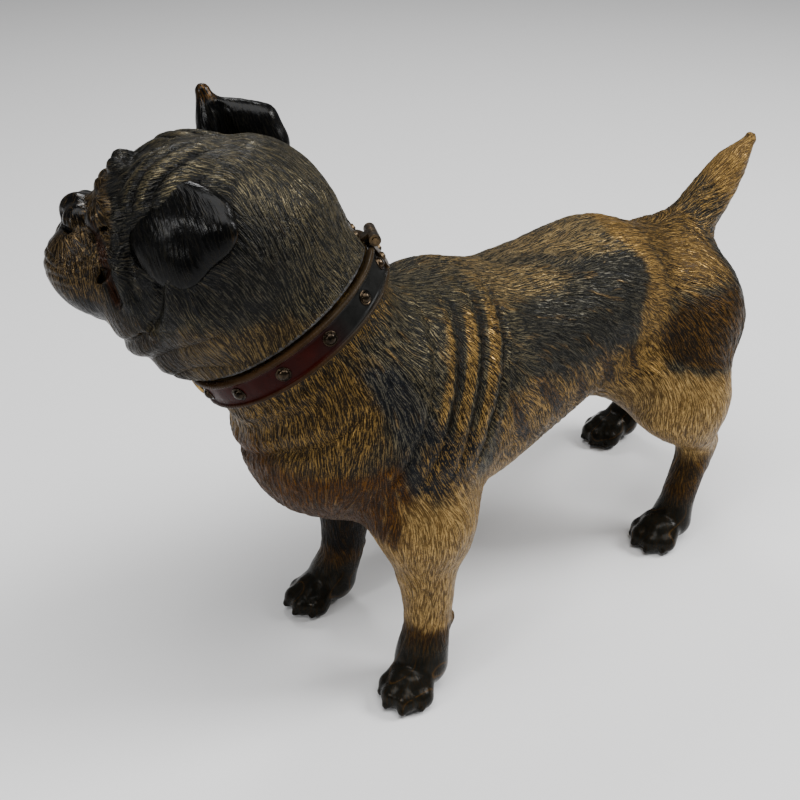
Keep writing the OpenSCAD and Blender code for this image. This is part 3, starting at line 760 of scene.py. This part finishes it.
def finish_head():
    skin = Skin(head_field(), head_outer)
    p = skin.points
    f, l, u = local(HEAD, p).T
    side = np.abs(l)
    outer = head_outer(p, skin.normals)
    crest, where = brow_wrinkles(p)
    height = 1.3 * (crest ** 0.6 - 0.6) * where
    # rings under the eye
    eye = np.hypot(f - 28, np.hypot(side - 11.5, u - 7))
    ring = crests(eye + 0.5 * waves(p, 22, 42), 3.4) ** 0.6 - 0.6
    height += 0.5 * ring * ramp(eye, 16, 12) * ramp(eye, 6.5, 8) * ramp(u, 10, 5)
    # fine lines on the muzzle, fading at its front
    muzzle = np.hypot(f - 41, u - 5)
    line = crests(muzzle + 0.2 * side + 0.7 * waves(p, 15, 43), 2.7) ** 0.7 - 0.6
    height += 0.32 * line * ramp(muzzle, 6, 9) * ramp(muzzle, 18, 13) * ramp(side, 3, 7) * ramp(u, -20, -14)
    # folds of the cheek and the dewlap
    fold = np.hypot(f - 34, 0.8 * (u + 4))
    groove = np.exp(-(((fold - 19) / 1.2) ** 2)) - 0.8 * np.exp(-(((fold - 22) / 2.0) ** 2))
    height -= 1.3 * groove * ramp(u, 4, -6) * ramp(side, 8, 12)
    jaw = crests(u + 0.55 * f + 1.5 * waves(p, 30, 47), 9.5) ** 0.6 - 0.6
    height += 0.8 * jaw * ramp(u, -14, -22) * ramp(f, 26, 18) * ramp(f, -8, 0)
    height += 0.2 * waves(p, 18, 45)
    skin.push(height * outer)
    q = local(HEAD, p)
    eyes = np.maximum(lump(q, (32.4, 12.8, 7.4), 4.6), lump(q, (32.4, -12.8, 7.4), 4.6))
    pad = ramp(f, 35.5, 37.5) * ramp(u, -1.6, 0) * ramp(side, 9.6, 8.2)
    smooth = np.clip(2.2 * eyes + pad, 0, 1)
    face = ramp(f, 12, 24)
    along = combing(p, skin.normals, flow_on_head(p))
    ridge = combed(skin.points, along, 5 - 2.4 * face, 0.33, 83)
    tone = combed(skin.points, along, 6 - 2.4 * face, 0.9, 84)
    relief = (0.24 - 0.14 * face) * (ridge - 0.5) + (0.16 - 0.06 * face) * (tone - 0.5)
    skin.push(outer * (1 - smooth) * relief)
    skin.values = head_paint(p, ridge, tone, smooth).values() | {
        "Comb": along,
        "Ridge": ridge * (1 - smooth) + smooth,
        "Gloss": np.clip(0.3 + 0.35 * ramp(f, 4, 20) + 0.5 * smooth, 0, 1),
        "Inside": 1 - outer,
    }
    return skin


def head_paint(p, ridge, tone, smooth):
    q = local(HEAD, p)
    f, l, u = q.T
    side = np.abs(l)
    wander = waves(p, 30, 51)
    paint = Paint(ridge, tone, SLATE * 0.6, PEWTER * 0.6, 0.5)
    # slate cheek behind the ear, black round the ear, brow and eye
    cheek = np.maximum(lump(q, (-4, 24, -2), 26), lump(q, (-4, -24, -2), 26))
    paint.over(np.clip(1.5 * cheek, 0, 1), SLATE * 0.25, ASH * 0.35, 0.4)
    ear = np.maximum(lump(q, (10, 20, 4), 27), lump(q, (6, -22, 14), 16))
    paint.over(np.clip(2.2 * ear, 0, 1), JET * 0.5, ASH * 0.3, 0.3)
    paint.over(ramp(f + 2 * wander, 8, 14) * ramp(u, -22, -14), JET * 0.5, ASH * 0.35, 0.35)
    paint.over(ramp(u, 17, 22) * ramp(f, 24, 14), SLATE * 0.6, PEWTER * 0.5, 0.5)
    crest, where = brow_wrinkles(p)
    # the brow wrinkles: a painted highlight on their crests and painted shade in their grooves
    paint.over(where * ramp(crest, 0.6, 0.95), SLATE * 0.6, PEWTER * 0.8, 0.6)
    paint.over(where * ramp(crest, 0.5, 0.2), JET * 0.3, ASH * 0.2, 0.3)
    # brown throat and dewlap, darker jowl
    low = ramp(u + 3 * wander, -12, -20)
    paint.over(low * ramp(f, 20, 10), UMBER * 0.7, OLD_GOLD * 0.5, 0.6)
    paint.over(low * ramp(f, 8, 16), UMBER * 0.25, OLD_BRONZE * 0.25, 0.4)
    # muzzle: umber with bronze on the wrinkles, black lips
    paint.over(ramp(f + wander, 27, 33), UMBER * 0.35, OLD_BRONZE * 0.75, 0.5)
    paint.over(ramp(f, 30, 34) * ramp(u, -11, -15), JET, UMBER, 0.4)
    lids = ramp(np.hypot(f - 31, np.hypot(side - 12, u - 7.4)), 8.4, 6.6)
    paint.over(lids * ramp(f, 25, 29), UMBER * 0.4, OLD_BRONZE * 0.7, 0.5)
    seam = ramp(np.abs(f - 30.9 - 0.25 * u), 1.5, 0.7) * ramp(side, 8, 11)
    seam = seam * ramp(u, 10, 6) * ramp(u, -16, -12)
    paint.over(seam, srgb(30, 17, 10), srgb(60, 37, 24), 0.7)
    paint.ground = mixed(paint.ground, JET * 0.5, smooth)
    paint.amount = paint.amount * (1 - smooth)
    return paint


def finish_ear(field, seed):
    skin = Skin(field)
    p = skin.points
    along = combing(p, skin.normals, -axis_of(HEAD, 2) - 0.35 * axis_of(HEAD, 0))
    many = np.ones(len(p))
    ridge = combed(p, along, 4 * many, 0.34, 85 + seed)
    tone = combed(p, along, 6 * many, 1.2, 86 + seed)
    skin.push(0.1 * ridge + 0.15 * waves(p, 11, 61 + seed))
    paint = Paint(ridge, tone, JET * 0.25, ASH * 0.15, 0.2)
    tip = lump(local(HEAD, p), (-6, 26, 8), 4) + lump(local(HEAD, p), (6.6, -22, 31), 6)
    paint.over(np.clip(tip * 1.5, 0, 1), JET, ORANGE * 0.35, 0.7)
    skin.values = paint.values() | {
        "Comb": along,
        "Ridge": 0.4 + 0.6 * ridge,
        "Gloss": 0.9 * many,
        "Inside": 0 * many,
    }
    return skin


# ---- meshes ----

def to_metres(points):
    return (points + PLAN_SHIFT) * MM


def make_mesh(name, points, faces, values=None):
    """A smooth mesh whose painted values are attributes that the materials read."""
    mesh = bpy.data.meshes.new(name)
    mesh.from_pydata(points, [], faces)
    mesh.polygons.foreach_set("use_smooth", np.ones(len(mesh.polygons), bool))
    for key, value in (values or {}).items():
        if value.ndim == 2:
            layer = mesh.attributes.new(key, "FLOAT_COLOR", "POINT")
            rgba = np.concatenate([value, np.ones((len(value), 1))], axis=1)
            layer.data.foreach_set("color", rgba.astype(np.float32).ravel())
        else:
            layer = mesh.attributes.new(key, "FLOAT", "POINT")
            layer.data.foreach_set("value", value.astype(np.float32))
    mesh.update()
    return mesh


def place_piece(name, mesh, body, nodes, slot_name, material):
    """Puts a mesh in the scene as a piece that rides on a body and stands for some nodes."""
    piece = bpy.data.objects.new(name, mesh)
    bpy.context.scene.collection.objects.link(piece)
    mesh.materials.append(material)
    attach(piece, body)
    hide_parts(*nodes)


# two corners in plan of a box round each leg
LEG_BOXES = {
    "front_left_leg": ((-75, -50), (-20, -9)),
    "front_right_leg": ((-75, 6), (-18, 50)),
    "rear_left_leg": ((50, -50), (106, -4)),
    "rear_right_leg": ((76, 4), (140, 56)),
}


def in_leg(name, c):
    low, high = LEG_BOXES[name]
    return (c[:, 0] > low[0]) & (c[:, 0] < high[0]) & (c[:, 1] > low[1]) & (c[:, 1] < high[1])


def split_trunk(skin):
    """Cuts the one skin into the castings, along the joints between them."""
    whole = skin.mesh("trunk", shift=False)
    bm = bmesh.new()
    bm.from_mesh(whole)
    tail_axis = axis_of(TAIL_SIDE, 2)
    leg_plane = ((0, 0, LEG_JOINT_Z), (0, 0, 1))
    tail_plane = (TAIL_JOINT, tuple(tail_axis))
    middle_plane = ((0, 0, 0), (0, 1, 0))

    def centres():
        return np.array([face.calc_center_median() for face in bm.faces])

    def beyond_tail(c):
        return (c[:, 0] > TAIL_ROOT_X) & ((c - TAIL_JOINT) @ tail_axis > 0)

    def slice_at(plane, wanted):
        c = centres()
        near = np.abs((c - np.array(plane[0])) @ np.array(plane[1])) < 2
        bm.faces.ensure_lookup_table()
        faces = [bm.faces[i] for i in np.flatnonzero(near & wanted(c))]
        parts = {e for f in faces for e in f.edges} | {v for f in faces for v in f.verts}
        bmesh.ops.bisect_plane(bm, geom=faces + list(parts), dist=1e-4, plane_co=plane[0], plane_no=plane[1])

    slice_at(leg_plane, lambda c: np.any([in_leg(name, c) for name in LEG_BOXES], axis=0))
    slice_at(tail_plane, lambda c: (c[:, 0] > TAIL_ROOT_X) & (c[:, 2] > 96))
    slice_at(middle_plane, lambda c: ~beyond_tail(c))
    c = centres()
    bm.to_mesh(whole)
    bm.free()
    home = np.where(c[:, 1] < 0, "body_left_shell", "body_right_shell").astype(object)
    for name in LEG_BOXES:
        home[in_leg(name, c) & (c[:, 2] < LEG_JOINT_Z)] = name
    home[beyond_tail(c)] = "tail"
    planes = (leg_plane, tail_plane, middle_plane)
    return {name: capped(some_faces(whole, home == name), planes) for name in np.unique(home)}


def some_faces(mesh, wanted):
    """A mesh of the wanted faces of another, with their painted values."""
    corner = np.empty(len(mesh.loops), np.int32)
    start = np.empty(len(mesh.polygons), np.int32)
    total = np.empty(len(mesh.polygons), np.int32)
    points = np.empty(len(mesh.vertices) * 3)
    mesh.loops.foreach_get("vertex_index", corner)
    mesh.polygons.foreach_get("loop_start", start)
    mesh.polygons.foreach_get("loop_total", total)
    mesh.vertices.foreach_get("co", points)
    used = np.unique(corner[np.repeat(wanted, total)])
    number = np.zeros(len(mesh.vertices), np.int64)
    number[used] = np.arange(len(used))
    faces = []
    for size in np.unique(total[wanted]):
        first = start[wanted & (total == size)]
        faces += number[corner[first[:, None] + np.arange(size)]].tolist()
    values = {}
    for key in ("Coat", "Rubbed", "Catch", "Comb", "Ridge", "Gloss", "Inside"):
        layer = mesh.attributes[key]
        width = 4 if layer.data_type == "FLOAT_COLOR" else 1
        flat = np.empty(len(mesh.vertices) * width, np.float32)
        layer.data.foreach_get("color" if width == 4 else "value", flat)
        values[key] = flat.reshape(-1, 4)[used, :3] if width == 4 else flat[used]
    return make_mesh("piece", points.reshape(-1, 3)[used], faces, values)


def capped(mesh, planes):
    """Closes a mesh along the planes it was cut at, with sharp edges, and turns it to metres."""
    bm = bmesh.new()
    bm.from_mesh(mesh)
    for point, normal in planes:
        origin, across = Vector(point), Vector(normal)
        rims = [
            e for e in bm.edges
            if e.is_boundary and all(abs((v.co - origin).dot(across)) < 0.01 for v in e.verts)
        ]
        if not rims:
            continue
        filled = bmesh.ops.triangle_fill(bm, use_beauty=True, use_dissolve=False, edges=rims, normal=across)
        for part in filled["geom"]:
            if isinstance(part, bmesh.types.BMFace):
                part.smooth = False
        for edge in rims:
            edge.smooth = False
    bmesh.ops.recalc_face_normals(bm, faces=bm.faces[:])
    bm.to_mesh(mesh)
    bm.free()
    mesh.transform(Matrix.Scale(MM, 4) @ Matrix.Translation(PLAN_SHIFT))
    return mesh


def lathe(profile, steps, place):
    """Points and quads of a closed (r, z) profile turned about a local z axis."""
    points, faces = [], []
    count = len(profile)
    for i in range(steps):
        a = 2 * math.pi * i / steps
        points += [place @ Vector((r * math.cos(a), r * math.sin(a), z)) for r, z in profile]
    for i in range(steps):
        j = (i + 1) % steps
        for k in range(count):
            m = (k + 1) % count
            faces.append((i * count + k, j * count + k, j * count + m, i * count + m))
    return points, faces


# ---- materials ----

class Nodes:
    """Short names for building a material."""

    def __init__(self, name):
        self.material = bpy.data.materials.new(name)
        self.material.use_nodes = True
        self.tree = self.material.node_tree
        self.shader = self.tree.nodes["Principled BSDF"]
        self.place = self.add("ShaderNodeTexCoord").outputs["Object"]

    def add(self, kind, **values):
        node = self.tree.nodes.new(kind)
        for key, value in values.items():
            setattr(node, key, value)
        return node

    def link(self, source, target):
        self.tree.links.new(source, target)

    def painted(self, name, output="Fac"):
        return self.add("ShaderNodeAttribute", attribute_name=name).outputs[output]

    def grey(self, level):
        node = self.add("ShaderNodeCombineColor")
        for i in range(3):
            self.link(level, node.inputs[i])
        return node.outputs[0]

    def noise(self, scale, detail=4.0, rough=0.6, at=None):
        node = self.add("ShaderNodeTexNoise")
        node.inputs["Scale"].default_value = scale
        node.inputs["Detail"].default_value = detail
        node.inputs["Roughness"].default_value = rough
        self.link(at or self.place, node.inputs["Vector"])
        return node.outputs["Fac"]

    def maths(self, operation, a, b):
        node = self.add("ShaderNodeMath", operation=operation)
        for socket, given in zip(node.inputs, (a, b)):
            if isinstance(given, (int, float)):
                socket.default_value = given
            else:
                self.link(given, socket)
        return node.outputs[0]

    def spread(self, source, low, high, new_low, new_high):
        node = self.add("ShaderNodeMapRange")
        for key, given in (("From Min", low), ("From Max", high), ("To Min", new_low), ("To Max", new_high)):
            node.inputs[key].default_value = given
        self.link(source, node.inputs["Value"])
        return node.outputs["Result"]

    def blend(self, kind, factor, a, b):
        node = self.add("ShaderNodeMix", data_type="RGBA", blend_type=kind)
        for key, given in ((0, factor), (6, a), (7, b)):
            socket = node.inputs[key]
            if isinstance(given, (int, float)):
                socket.default_value = given
            elif isinstance(given, (tuple, list, np.ndarray)):
                socket.default_value = (*given[:3], 1)
            else:
                self.link(given, socket)
        return node.outputs[2]

    def bump(self, height, distance, strength=1.0):
        node = self.add("ShaderNodeBump")
        node.inputs["Distance"].default_value = distance
        node.inputs["Strength"].default_value = strength
        self.link(height, node.inputs["Height"])
        self.link(node.outputs["Normal"], self.shader.inputs["Normal"])


# the material's fine hair: noise samples along a hair, metres between them, and the noise's scale
HAIR_SAMPLES, HAIR_STEP, HAIR_SCALE = 9, 0.00026, 3300


def cold_paint(name, shine):
    """Painted values, mottled and finely combed, with painted shade in the hair grooves, over a waxed
    casting; the inside is bare grey metal.
    """
    m = Nodes(name)
    ground, rubbed = m.painted("Coat", "Color"), m.painted("Rubbed", "Color")
    catch, ridge = m.painted("Catch"), m.painted("Ridge")
    gloss, inside = m.painted("Gloss"), m.painted("Inside")
    # fine hair: noise averaged along the way it is combed
    comb = m.painted("Comb", "Vector")
    total = None
    for i in range(HAIR_SAMPLES):
        step = (i - (HAIR_SAMPLES - 1) / 2) * HAIR_STEP
        spot = m.add("ShaderNodeVectorMath", operation="MULTIPLY_ADD")
        m.link(comb, spot.inputs[0])
        spot.inputs[1].default_value = (step, step, step)
        m.link(m.place, spot.inputs[2])
        sample = m.noise(HAIR_SCALE, 0, 0.5, spot.outputs["Vector"])
        total = sample if total is None else m.maths("ADD", total, sample)
    middle = HAIR_SAMPLES * 0.5
    hair = m.spread(total, middle - 0.5, middle + 0.5, 0.0, 1.0)
    dragged = m.spread(m.maths("ADD", hair, catch), 0.74, 1.5, 0.0, 1.0)
    colour = m.blend("MIX", dragged, ground, rubbed)
    hair = m.maths("MULTIPLY", hair, m.spread(gloss, 0.3, 0.9, 1.0, 0.15))
    mottle = m.spread(m.noise(420, 5), 0.3, 0.7, 0.62, 1.0)
    mottle = m.maths("MULTIPLY", mottle, m.spread(hair, 0, 1, 0.65, 1.3))
    colour = m.blend("MULTIPLY", 1.0, colour, m.grey(mottle))
    # painted shade: the hair grooves are darkened towards black where the ridge is low
    hollow = m.spread(ridge, 0.0, 0.4, 0.35, 0.0)
    colour = m.blend("MIX", hollow, colour, (0.004, 0.004, 0.004))
    bare = m.spread(m.noise(900, 3), 0.35, 0.7, 0.06, 0.16)
    colour = m.blend("MIX", inside, colour, m.grey(bare))
    m.link(colour, m.shader.inputs["Base Color"])
    patchy = m.noise(160, 3)
    rough = m.maths("SUBTRACT", m.spread(patchy, 0.3, 0.7, 0.3, 0.44), m.maths("MULTIPLY", gloss, 0.15))
    m.link(m.maths("ADD", rough, m.maths("MULTIPLY", inside, 0.2)), m.shader.inputs["Roughness"])
    m.link(m.spread(dragged, 0, 1, 0.1, 0.6), m.shader.inputs["Metallic"])
    m.shader.inputs["Specular IOR Level"].default_value = shine
    pits = m.maths("MULTIPLY", m.noise(2600, 3), m.spread(gloss, 0, 1, 0.5, 0.05))
    m.bump(m.maths("ADD", pits, m.maths("MULTIPLY", hair, 2.2)), 0.00008, 0.8)
    return m.material


def worn_metal(name, colour, deep, rough, scale=700, metallic=1.0):
    """Turned or filed metal, dark in patches, with fine scratches."""
    m = Nodes(name)
    stain = m.spread(m.noise(scale * 0.3, 5), 0.35, 0.68, 0.0, 1.0)
    m.link(m.blend("MIX", stain, deep, colour), m.shader.inputs["Base Color"])
    m.shader.inputs["Metallic"].default_value = metallic
    m.link(m.spread(m.noise(scale, 4), 0.3, 0.7, rough - 0.1, rough + 0.14), m.shader.inputs["Roughness"])
    m.bump(m.noise(scale * 2.5, 3), 0.00004, 0.5)
    return m.material


def collar_paint():
    """Oxblood at the throat and near side, slate towards the nape, rubbed on the rims."""
    m = Nodes("collar_paint")
    tint = m.spread(m.noise(260, 4), 0.3, 0.7, 0.7, 1.25)
    colour = m.blend("MULTIPLY", 1.0, m.painted("Coat", "Color"), m.grey(tint))
    m.link(colour, m.shader.inputs["Base Color"])
    m.link(m.spread(m.noise(300, 3), 0.3, 0.7, 0.22, 0.4), m.shader.inputs["Roughness"])
    m.shader.inputs["Specular IOR Level"].default_value = 0.06
    m.bump(m.noise(1500, 3), 0.00005, 0.5)
    return m.material


def floor_paper():
    m = Nodes("paper")
    m.link(m.spread(m.noise(60, 2), 0.3, 0.7, 0.80, 0.84), m.shader.inputs["Roughness"])
    m.shader.inputs["Specular IOR Level"].default_value = 0.1
    tint = m.blend("MIX", m.noise(3, 2), (0.79, 0.79, 0.79), (0.80, 0.80, 0.80))
    m.link(tint, m.shader.inputs["Base Color"])
    return m.material


# ---- collar ----

WIRE_R, COLLAR_STEPS, STUD_STEPS = 0.65, 720, 28


def make_collar():
    """Cast band with a wire rim along each edge, cut away at the nape for the hinge."""
    half = COLLAR_W / 2

    def wire(z):
        turns = [math.radians(-90 + 22.5 * i) for i in range(9)]
        return [(COLLAR_R + 0.05 + WIRE_R * math.cos(a), z + WIRE_R * math.sin(a)) for a in turns]

    profile = [(COLLAR_IN_R, half), (COLLAR_IN_R, -half)] + wire(-half + 0.7)
    for i in range(9):
        z = -half + 1.5 + (COLLAR_W - 3.0) * i / 8
        profile.append((COLLAR_R - 0.12 + 0.12 * math.cos(math.pi * (i - 4) / 8), z))
    profile += wire(half - 0.7)
    points, faces = lathe(profile, COLLAR_STEPS, NECK)
    points = np.array(points)
    q = local(NECK, points)
    angle = np.degrees(np.arctan2(q[:, 1], q[:, 0]))
    r, z = np.hypot(q[:, 0], q[:, 1]), q[:, 2]
    # beaded rims, small dents, and the flat under the hinge leaf
    out = r > COLLAR_R - 0.3
    bead = 0.12 * np.abs(np.sin(np.radians(angle) * 95)) * (np.abs(z) > 3.1)
    change = out * (bead + 0.05 * waves(points, 7, 71))
    gap = ramp(180 - np.abs(angle), 11.5, 10.2)
    change -= out * gap * np.clip(r - (COLLAR_R - 0.1), 0, 2)
    scale = 1 + change / np.maximum(r, 1)
    q[:, 0] *= scale
    q[:, 1] *= scale
    # pocket in the upper edge for the knuckles
    pocket = (np.abs(q[:, 1]) < 5.7) & (q[:, 0] < 0)
    q[pocket, 2] = np.minimum(q[pocket, 2], 2.9)
    place = np.array(NECK)
    points = q @ place[:3, :3].T + place[:3, 3]
    red, slate, rim_tone = srgb(38, 5, 2), srgb(22, 22, 21), srgb(46, 35, 20)
    colour = mixed(red, slate, ramp(np.abs(angle - 5), 88, 118))
    colour = mixed(colour, rim_tone, ramp(np.abs(z), 3.0, 3.6) * 0.75)
    mesh = make_mesh("collar_band", to_metres(points), faces, {"Coat": colour})
    place_piece("collar_band_painted", mesh, "body", ["collar_band"], "collar_red", collar_paint())


def make_studs():
    """Domed studs, each in a raised ring."""
    dome = [(0.02, -0.9), (0.7, -0.9), (0.7, 0.0), (2.1, 0.0), (2.15, 0.28), (1.95, 0.42), (1.7, 0.34)]
    arc = [math.radians(a) for a in range(0, 90, 12)]
    dome += [(1.62 * math.cos(a), 0.3 + 1.15 * math.sin(a)) for a in arc]
    dome.append((0.02, 1.45))
    points, faces = [], []
    for side in (-1, 1):
        for i in range(SIDE_STUDS):
            spot = NECK @ turn("Z", 180 + side * (i + 0.5) * STUD_PITCH)
            spot = spot @ Matrix.Translation((COLLAR_R - 0.12, 0, 0)) @ turn("Y", 90)
            some, quads = lathe(dome, STUD_STEPS, spot)
            faces += [tuple(k + len(points) for k in face) for face in quads]
            points += some
    mesh = make_mesh("studs", to_metres(np.array(points)), faces)
    metal = worn_metal("stud_bronze", srgb(72, 60, 46), srgb(20, 18, 16), 0.24, 900)
    place_piece("collar_studs_domed", mesh, "body", ["collar_studs"], "stud_bronze", metal)


# ---- build ----


def coat_slot(node_name):
    if node_name == "tail":
        return "tail_coat"
    return "leg_coat" if node_name.endswith("_leg") else "brindle_coat"


BODY_PAINT = cold_paint("brindle_paint", 0.08)
HEAD_PAINT = cold_paint("head_paint", 0.12)
for node_name, piece_mesh in split_trunk(finish_trunk()).items():
    place_piece(node_name + "_cast", piece_mesh, "body", [node_name], coat_slot(node_name), BODY_PAINT)
place_piece("head_cast", finish_head().mesh("head"), "head", ["head_shell"], "head_coat", HEAD_PAINT)

# The near ear folds over its root like a flap; the far one pricks, its tip turned forward.
NEAR_EAR_PLACE = HEAD @ Matrix.Translation((8, 21.5, 8)) @ turn("Z", -22) @ turn("X", 20)
THIN = (1, 0.5, 1)
NEAR_EAR = [
    ([(-5, -0.6, 0.6, 7.0), (5, -1.5, 0.4, 8.8)], THIN, 1),
    ([(2, -0.5, 1.4, 8.4), (1, 0, -5, 8)], THIN, 5),
    ([(8, -2.6, 2.4, 6.5), (8, -1.6, -4, 6)], THIN, 6),
    ([(1, 0, -6, 7), (0, 0.8, -9.5, 4)], THIN, 4),
    ([(-7, 0, 1.4, 5.6), (-11, 1.4, 0, 3)], THIN, 4),
]
NEAR_EAR_CUTS = [([(-12, -9, -9, 5.5), (0, -7.5, -14, 6), (10, -9, -10, 5.5)], (1, 1, 1), 1.5)]
FAR_EAR = [
    ([(-12, -20, 11, 4), (-4, -20, 14, 4), (5, -18.5, 17, 3.6)], (1, 1, 1), 2),
    ([(-12, -22.5, 17, 3.8), (-4, -23, 20, 3.4), (5, -21, 23, 2.8)], (1, 1, 1), 6),
    ([(-9.5, -23, 23.5, 3.4), (-3, -23.4, 25, 3.2), (4, -22, 27, 2.4)], (1, 1, 1), 6),
    ([(5.4, -20, 20, 2.6), (6.6, -21.5, 27, 2.1), (7, -22, 31, 2.0)], (1, 1, 1), 3),
]
FAR_EAR_CUTS = [([(0, -17.5, 19, 1.8), (2, -18.5, 27, 1.4)], (1, 1, 1), 2)]
for ear_name, seed, ear in (
    ("left_ear", 8, ear_field(NEAR_EAR_PLACE, NEAR_EAR, NEAR_EAR_CUTS, (-12, 6, -14), (28, 36, 28))),
    ("right_ear", 9, ear_field(HEAD, FAR_EAR, FAR_EAR_CUTS, (-22, -32, 2), (16, -10, 38))),
):
    skin_mesh = finish_ear(ear, seed).mesh(ear_name)
    place_piece(ear_name + "_cast", skin_mesh, "head", [ear_name], "ear_coat", HEAD_PAINT)

make_collar()
make_studs()

BRASS = worn_metal("aged_brass", (0.52, 0.36, 0.14), (0.16, 0.09, 0.03), 0.34)
BRONZE = worn_metal("dark_bronze", (0.15, 0.10, 0.05), (0.03, 0.024, 0.018), 0.36, 1200)
STEEL = worn_metal("filed_steel", (0.46, 0.46, 0.46), (0.12, 0.11, 0.1), 0.34)
PIN_STEEL = worn_metal("pin_steel", (0.6, 0.6, 0.6), (0.2, 0.19, 0.18), 0.25, 1200)
SPRING_STEEL = worn_metal("spring_steel", (0.1, 0.13, 0.24), (0.04, 0.04, 0.06), 0.22, 1000)
FITTINGS = {
    BRASS: ["neck_ring", "lock_block", "head_ring", "keyhole_escutcheon"],
    BRONZE: ["hinge_body_leaf", "hinge_head_leaf", "hinge_body_rivets", "hinge_head_rivets", "hinge_pin"],
    STEEL: ["lock_case", "lock_cover", "lock_bolt", "strike_plate"],
    PIN_STEEL: ["lock_posts", "strike_rivets"],
    SPRING_STEEL: ["lock_spring"],
}
for metal, names in FITTINGS.items():
    for node_name in names:
        for material_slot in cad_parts[node_name].material_slots:
            material_slot.material = metal

# ---- floor, light, camera: in metres, in the record's frame ----

FLOOR_HALF = 9

floor_mesh = bpy.data.meshes.new("floor")
corners = [(-FLOOR_HALF, -FLOOR_HALF, 0), (FLOOR_HALF, -FLOOR_HALF, 0),
           (FLOOR_HALF, FLOOR_HALF, 0), (-FLOOR_HALF, FLOOR_HALF, 0)]
floor_mesh.from_pydata(corners, [], [(0, 1, 2, 3)])
floor = bpy.data.objects.new("floor", floor_mesh)
bpy.context.scene.collection.objects.link(floor)
floor_mesh.materials.append(floor_paper())

world = bpy.data.worlds.new("studio")
bpy.context.scene.world = world
world.use_nodes = True
world.node_tree.nodes["Background"].inputs["Color"].default_value = (0.72, 0.72, 0.73, 1)
world.node_tree.nodes["Background"].inputs["Strength"].default_value = 0.26


def softbox(name, spot, target, size, watts):
    light = bpy.data.lights.new(name, "AREA")
    light.shape = "RECTANGLE"
    light.size, light.size_y = size
    light.energy = watts
    lamp = bpy.data.objects.new(name, light)
    lamp.location = spot
    lamp.rotation_euler = (Vector(target) - Vector(spot)).to_track_quat("-Z", "Y").to_euler()
    bpy.context.scene.collection.objects.link(lamp)


softbox("top", (-0.15, -0.2, 1.0), (-0.08, -0.08, 0.05), (0.9, 0.7), 12)
softbox("key", (0.66, -0.4, 0.75), (-0.02, 0, 0.08), (0.35, 0.35), 10)
softbox("face", (-0.93, -0.1, 0.5), (-0.06, 0, 0.12), (0.16, 0.16), 2.6)
softbox("back", (0.28, 0.6, 0.85), (0, 0, 0.1), (0.2, 0.2), 2.6)

VIEW_FROM = Vector((-232.5, -264.5, 272)) * MM
VIEW_TO = Vector((-32.5, -2.5, 84)) * MM
camera = bpy.data.cameras.new("camera")
camera.sensor_width = 36
camera.lens = 54.7
camera_object = bpy.data.objects.new("camera", camera)
camera_object.location = VIEW_FROM
camera_object.rotation_euler = (VIEW_TO - VIEW_FROM).to_track_quat("-Z", "Y").to_euler()
bpy.context.scene.collection.objects.link(camera_object)
bpy.context.scene.camera = camera_object
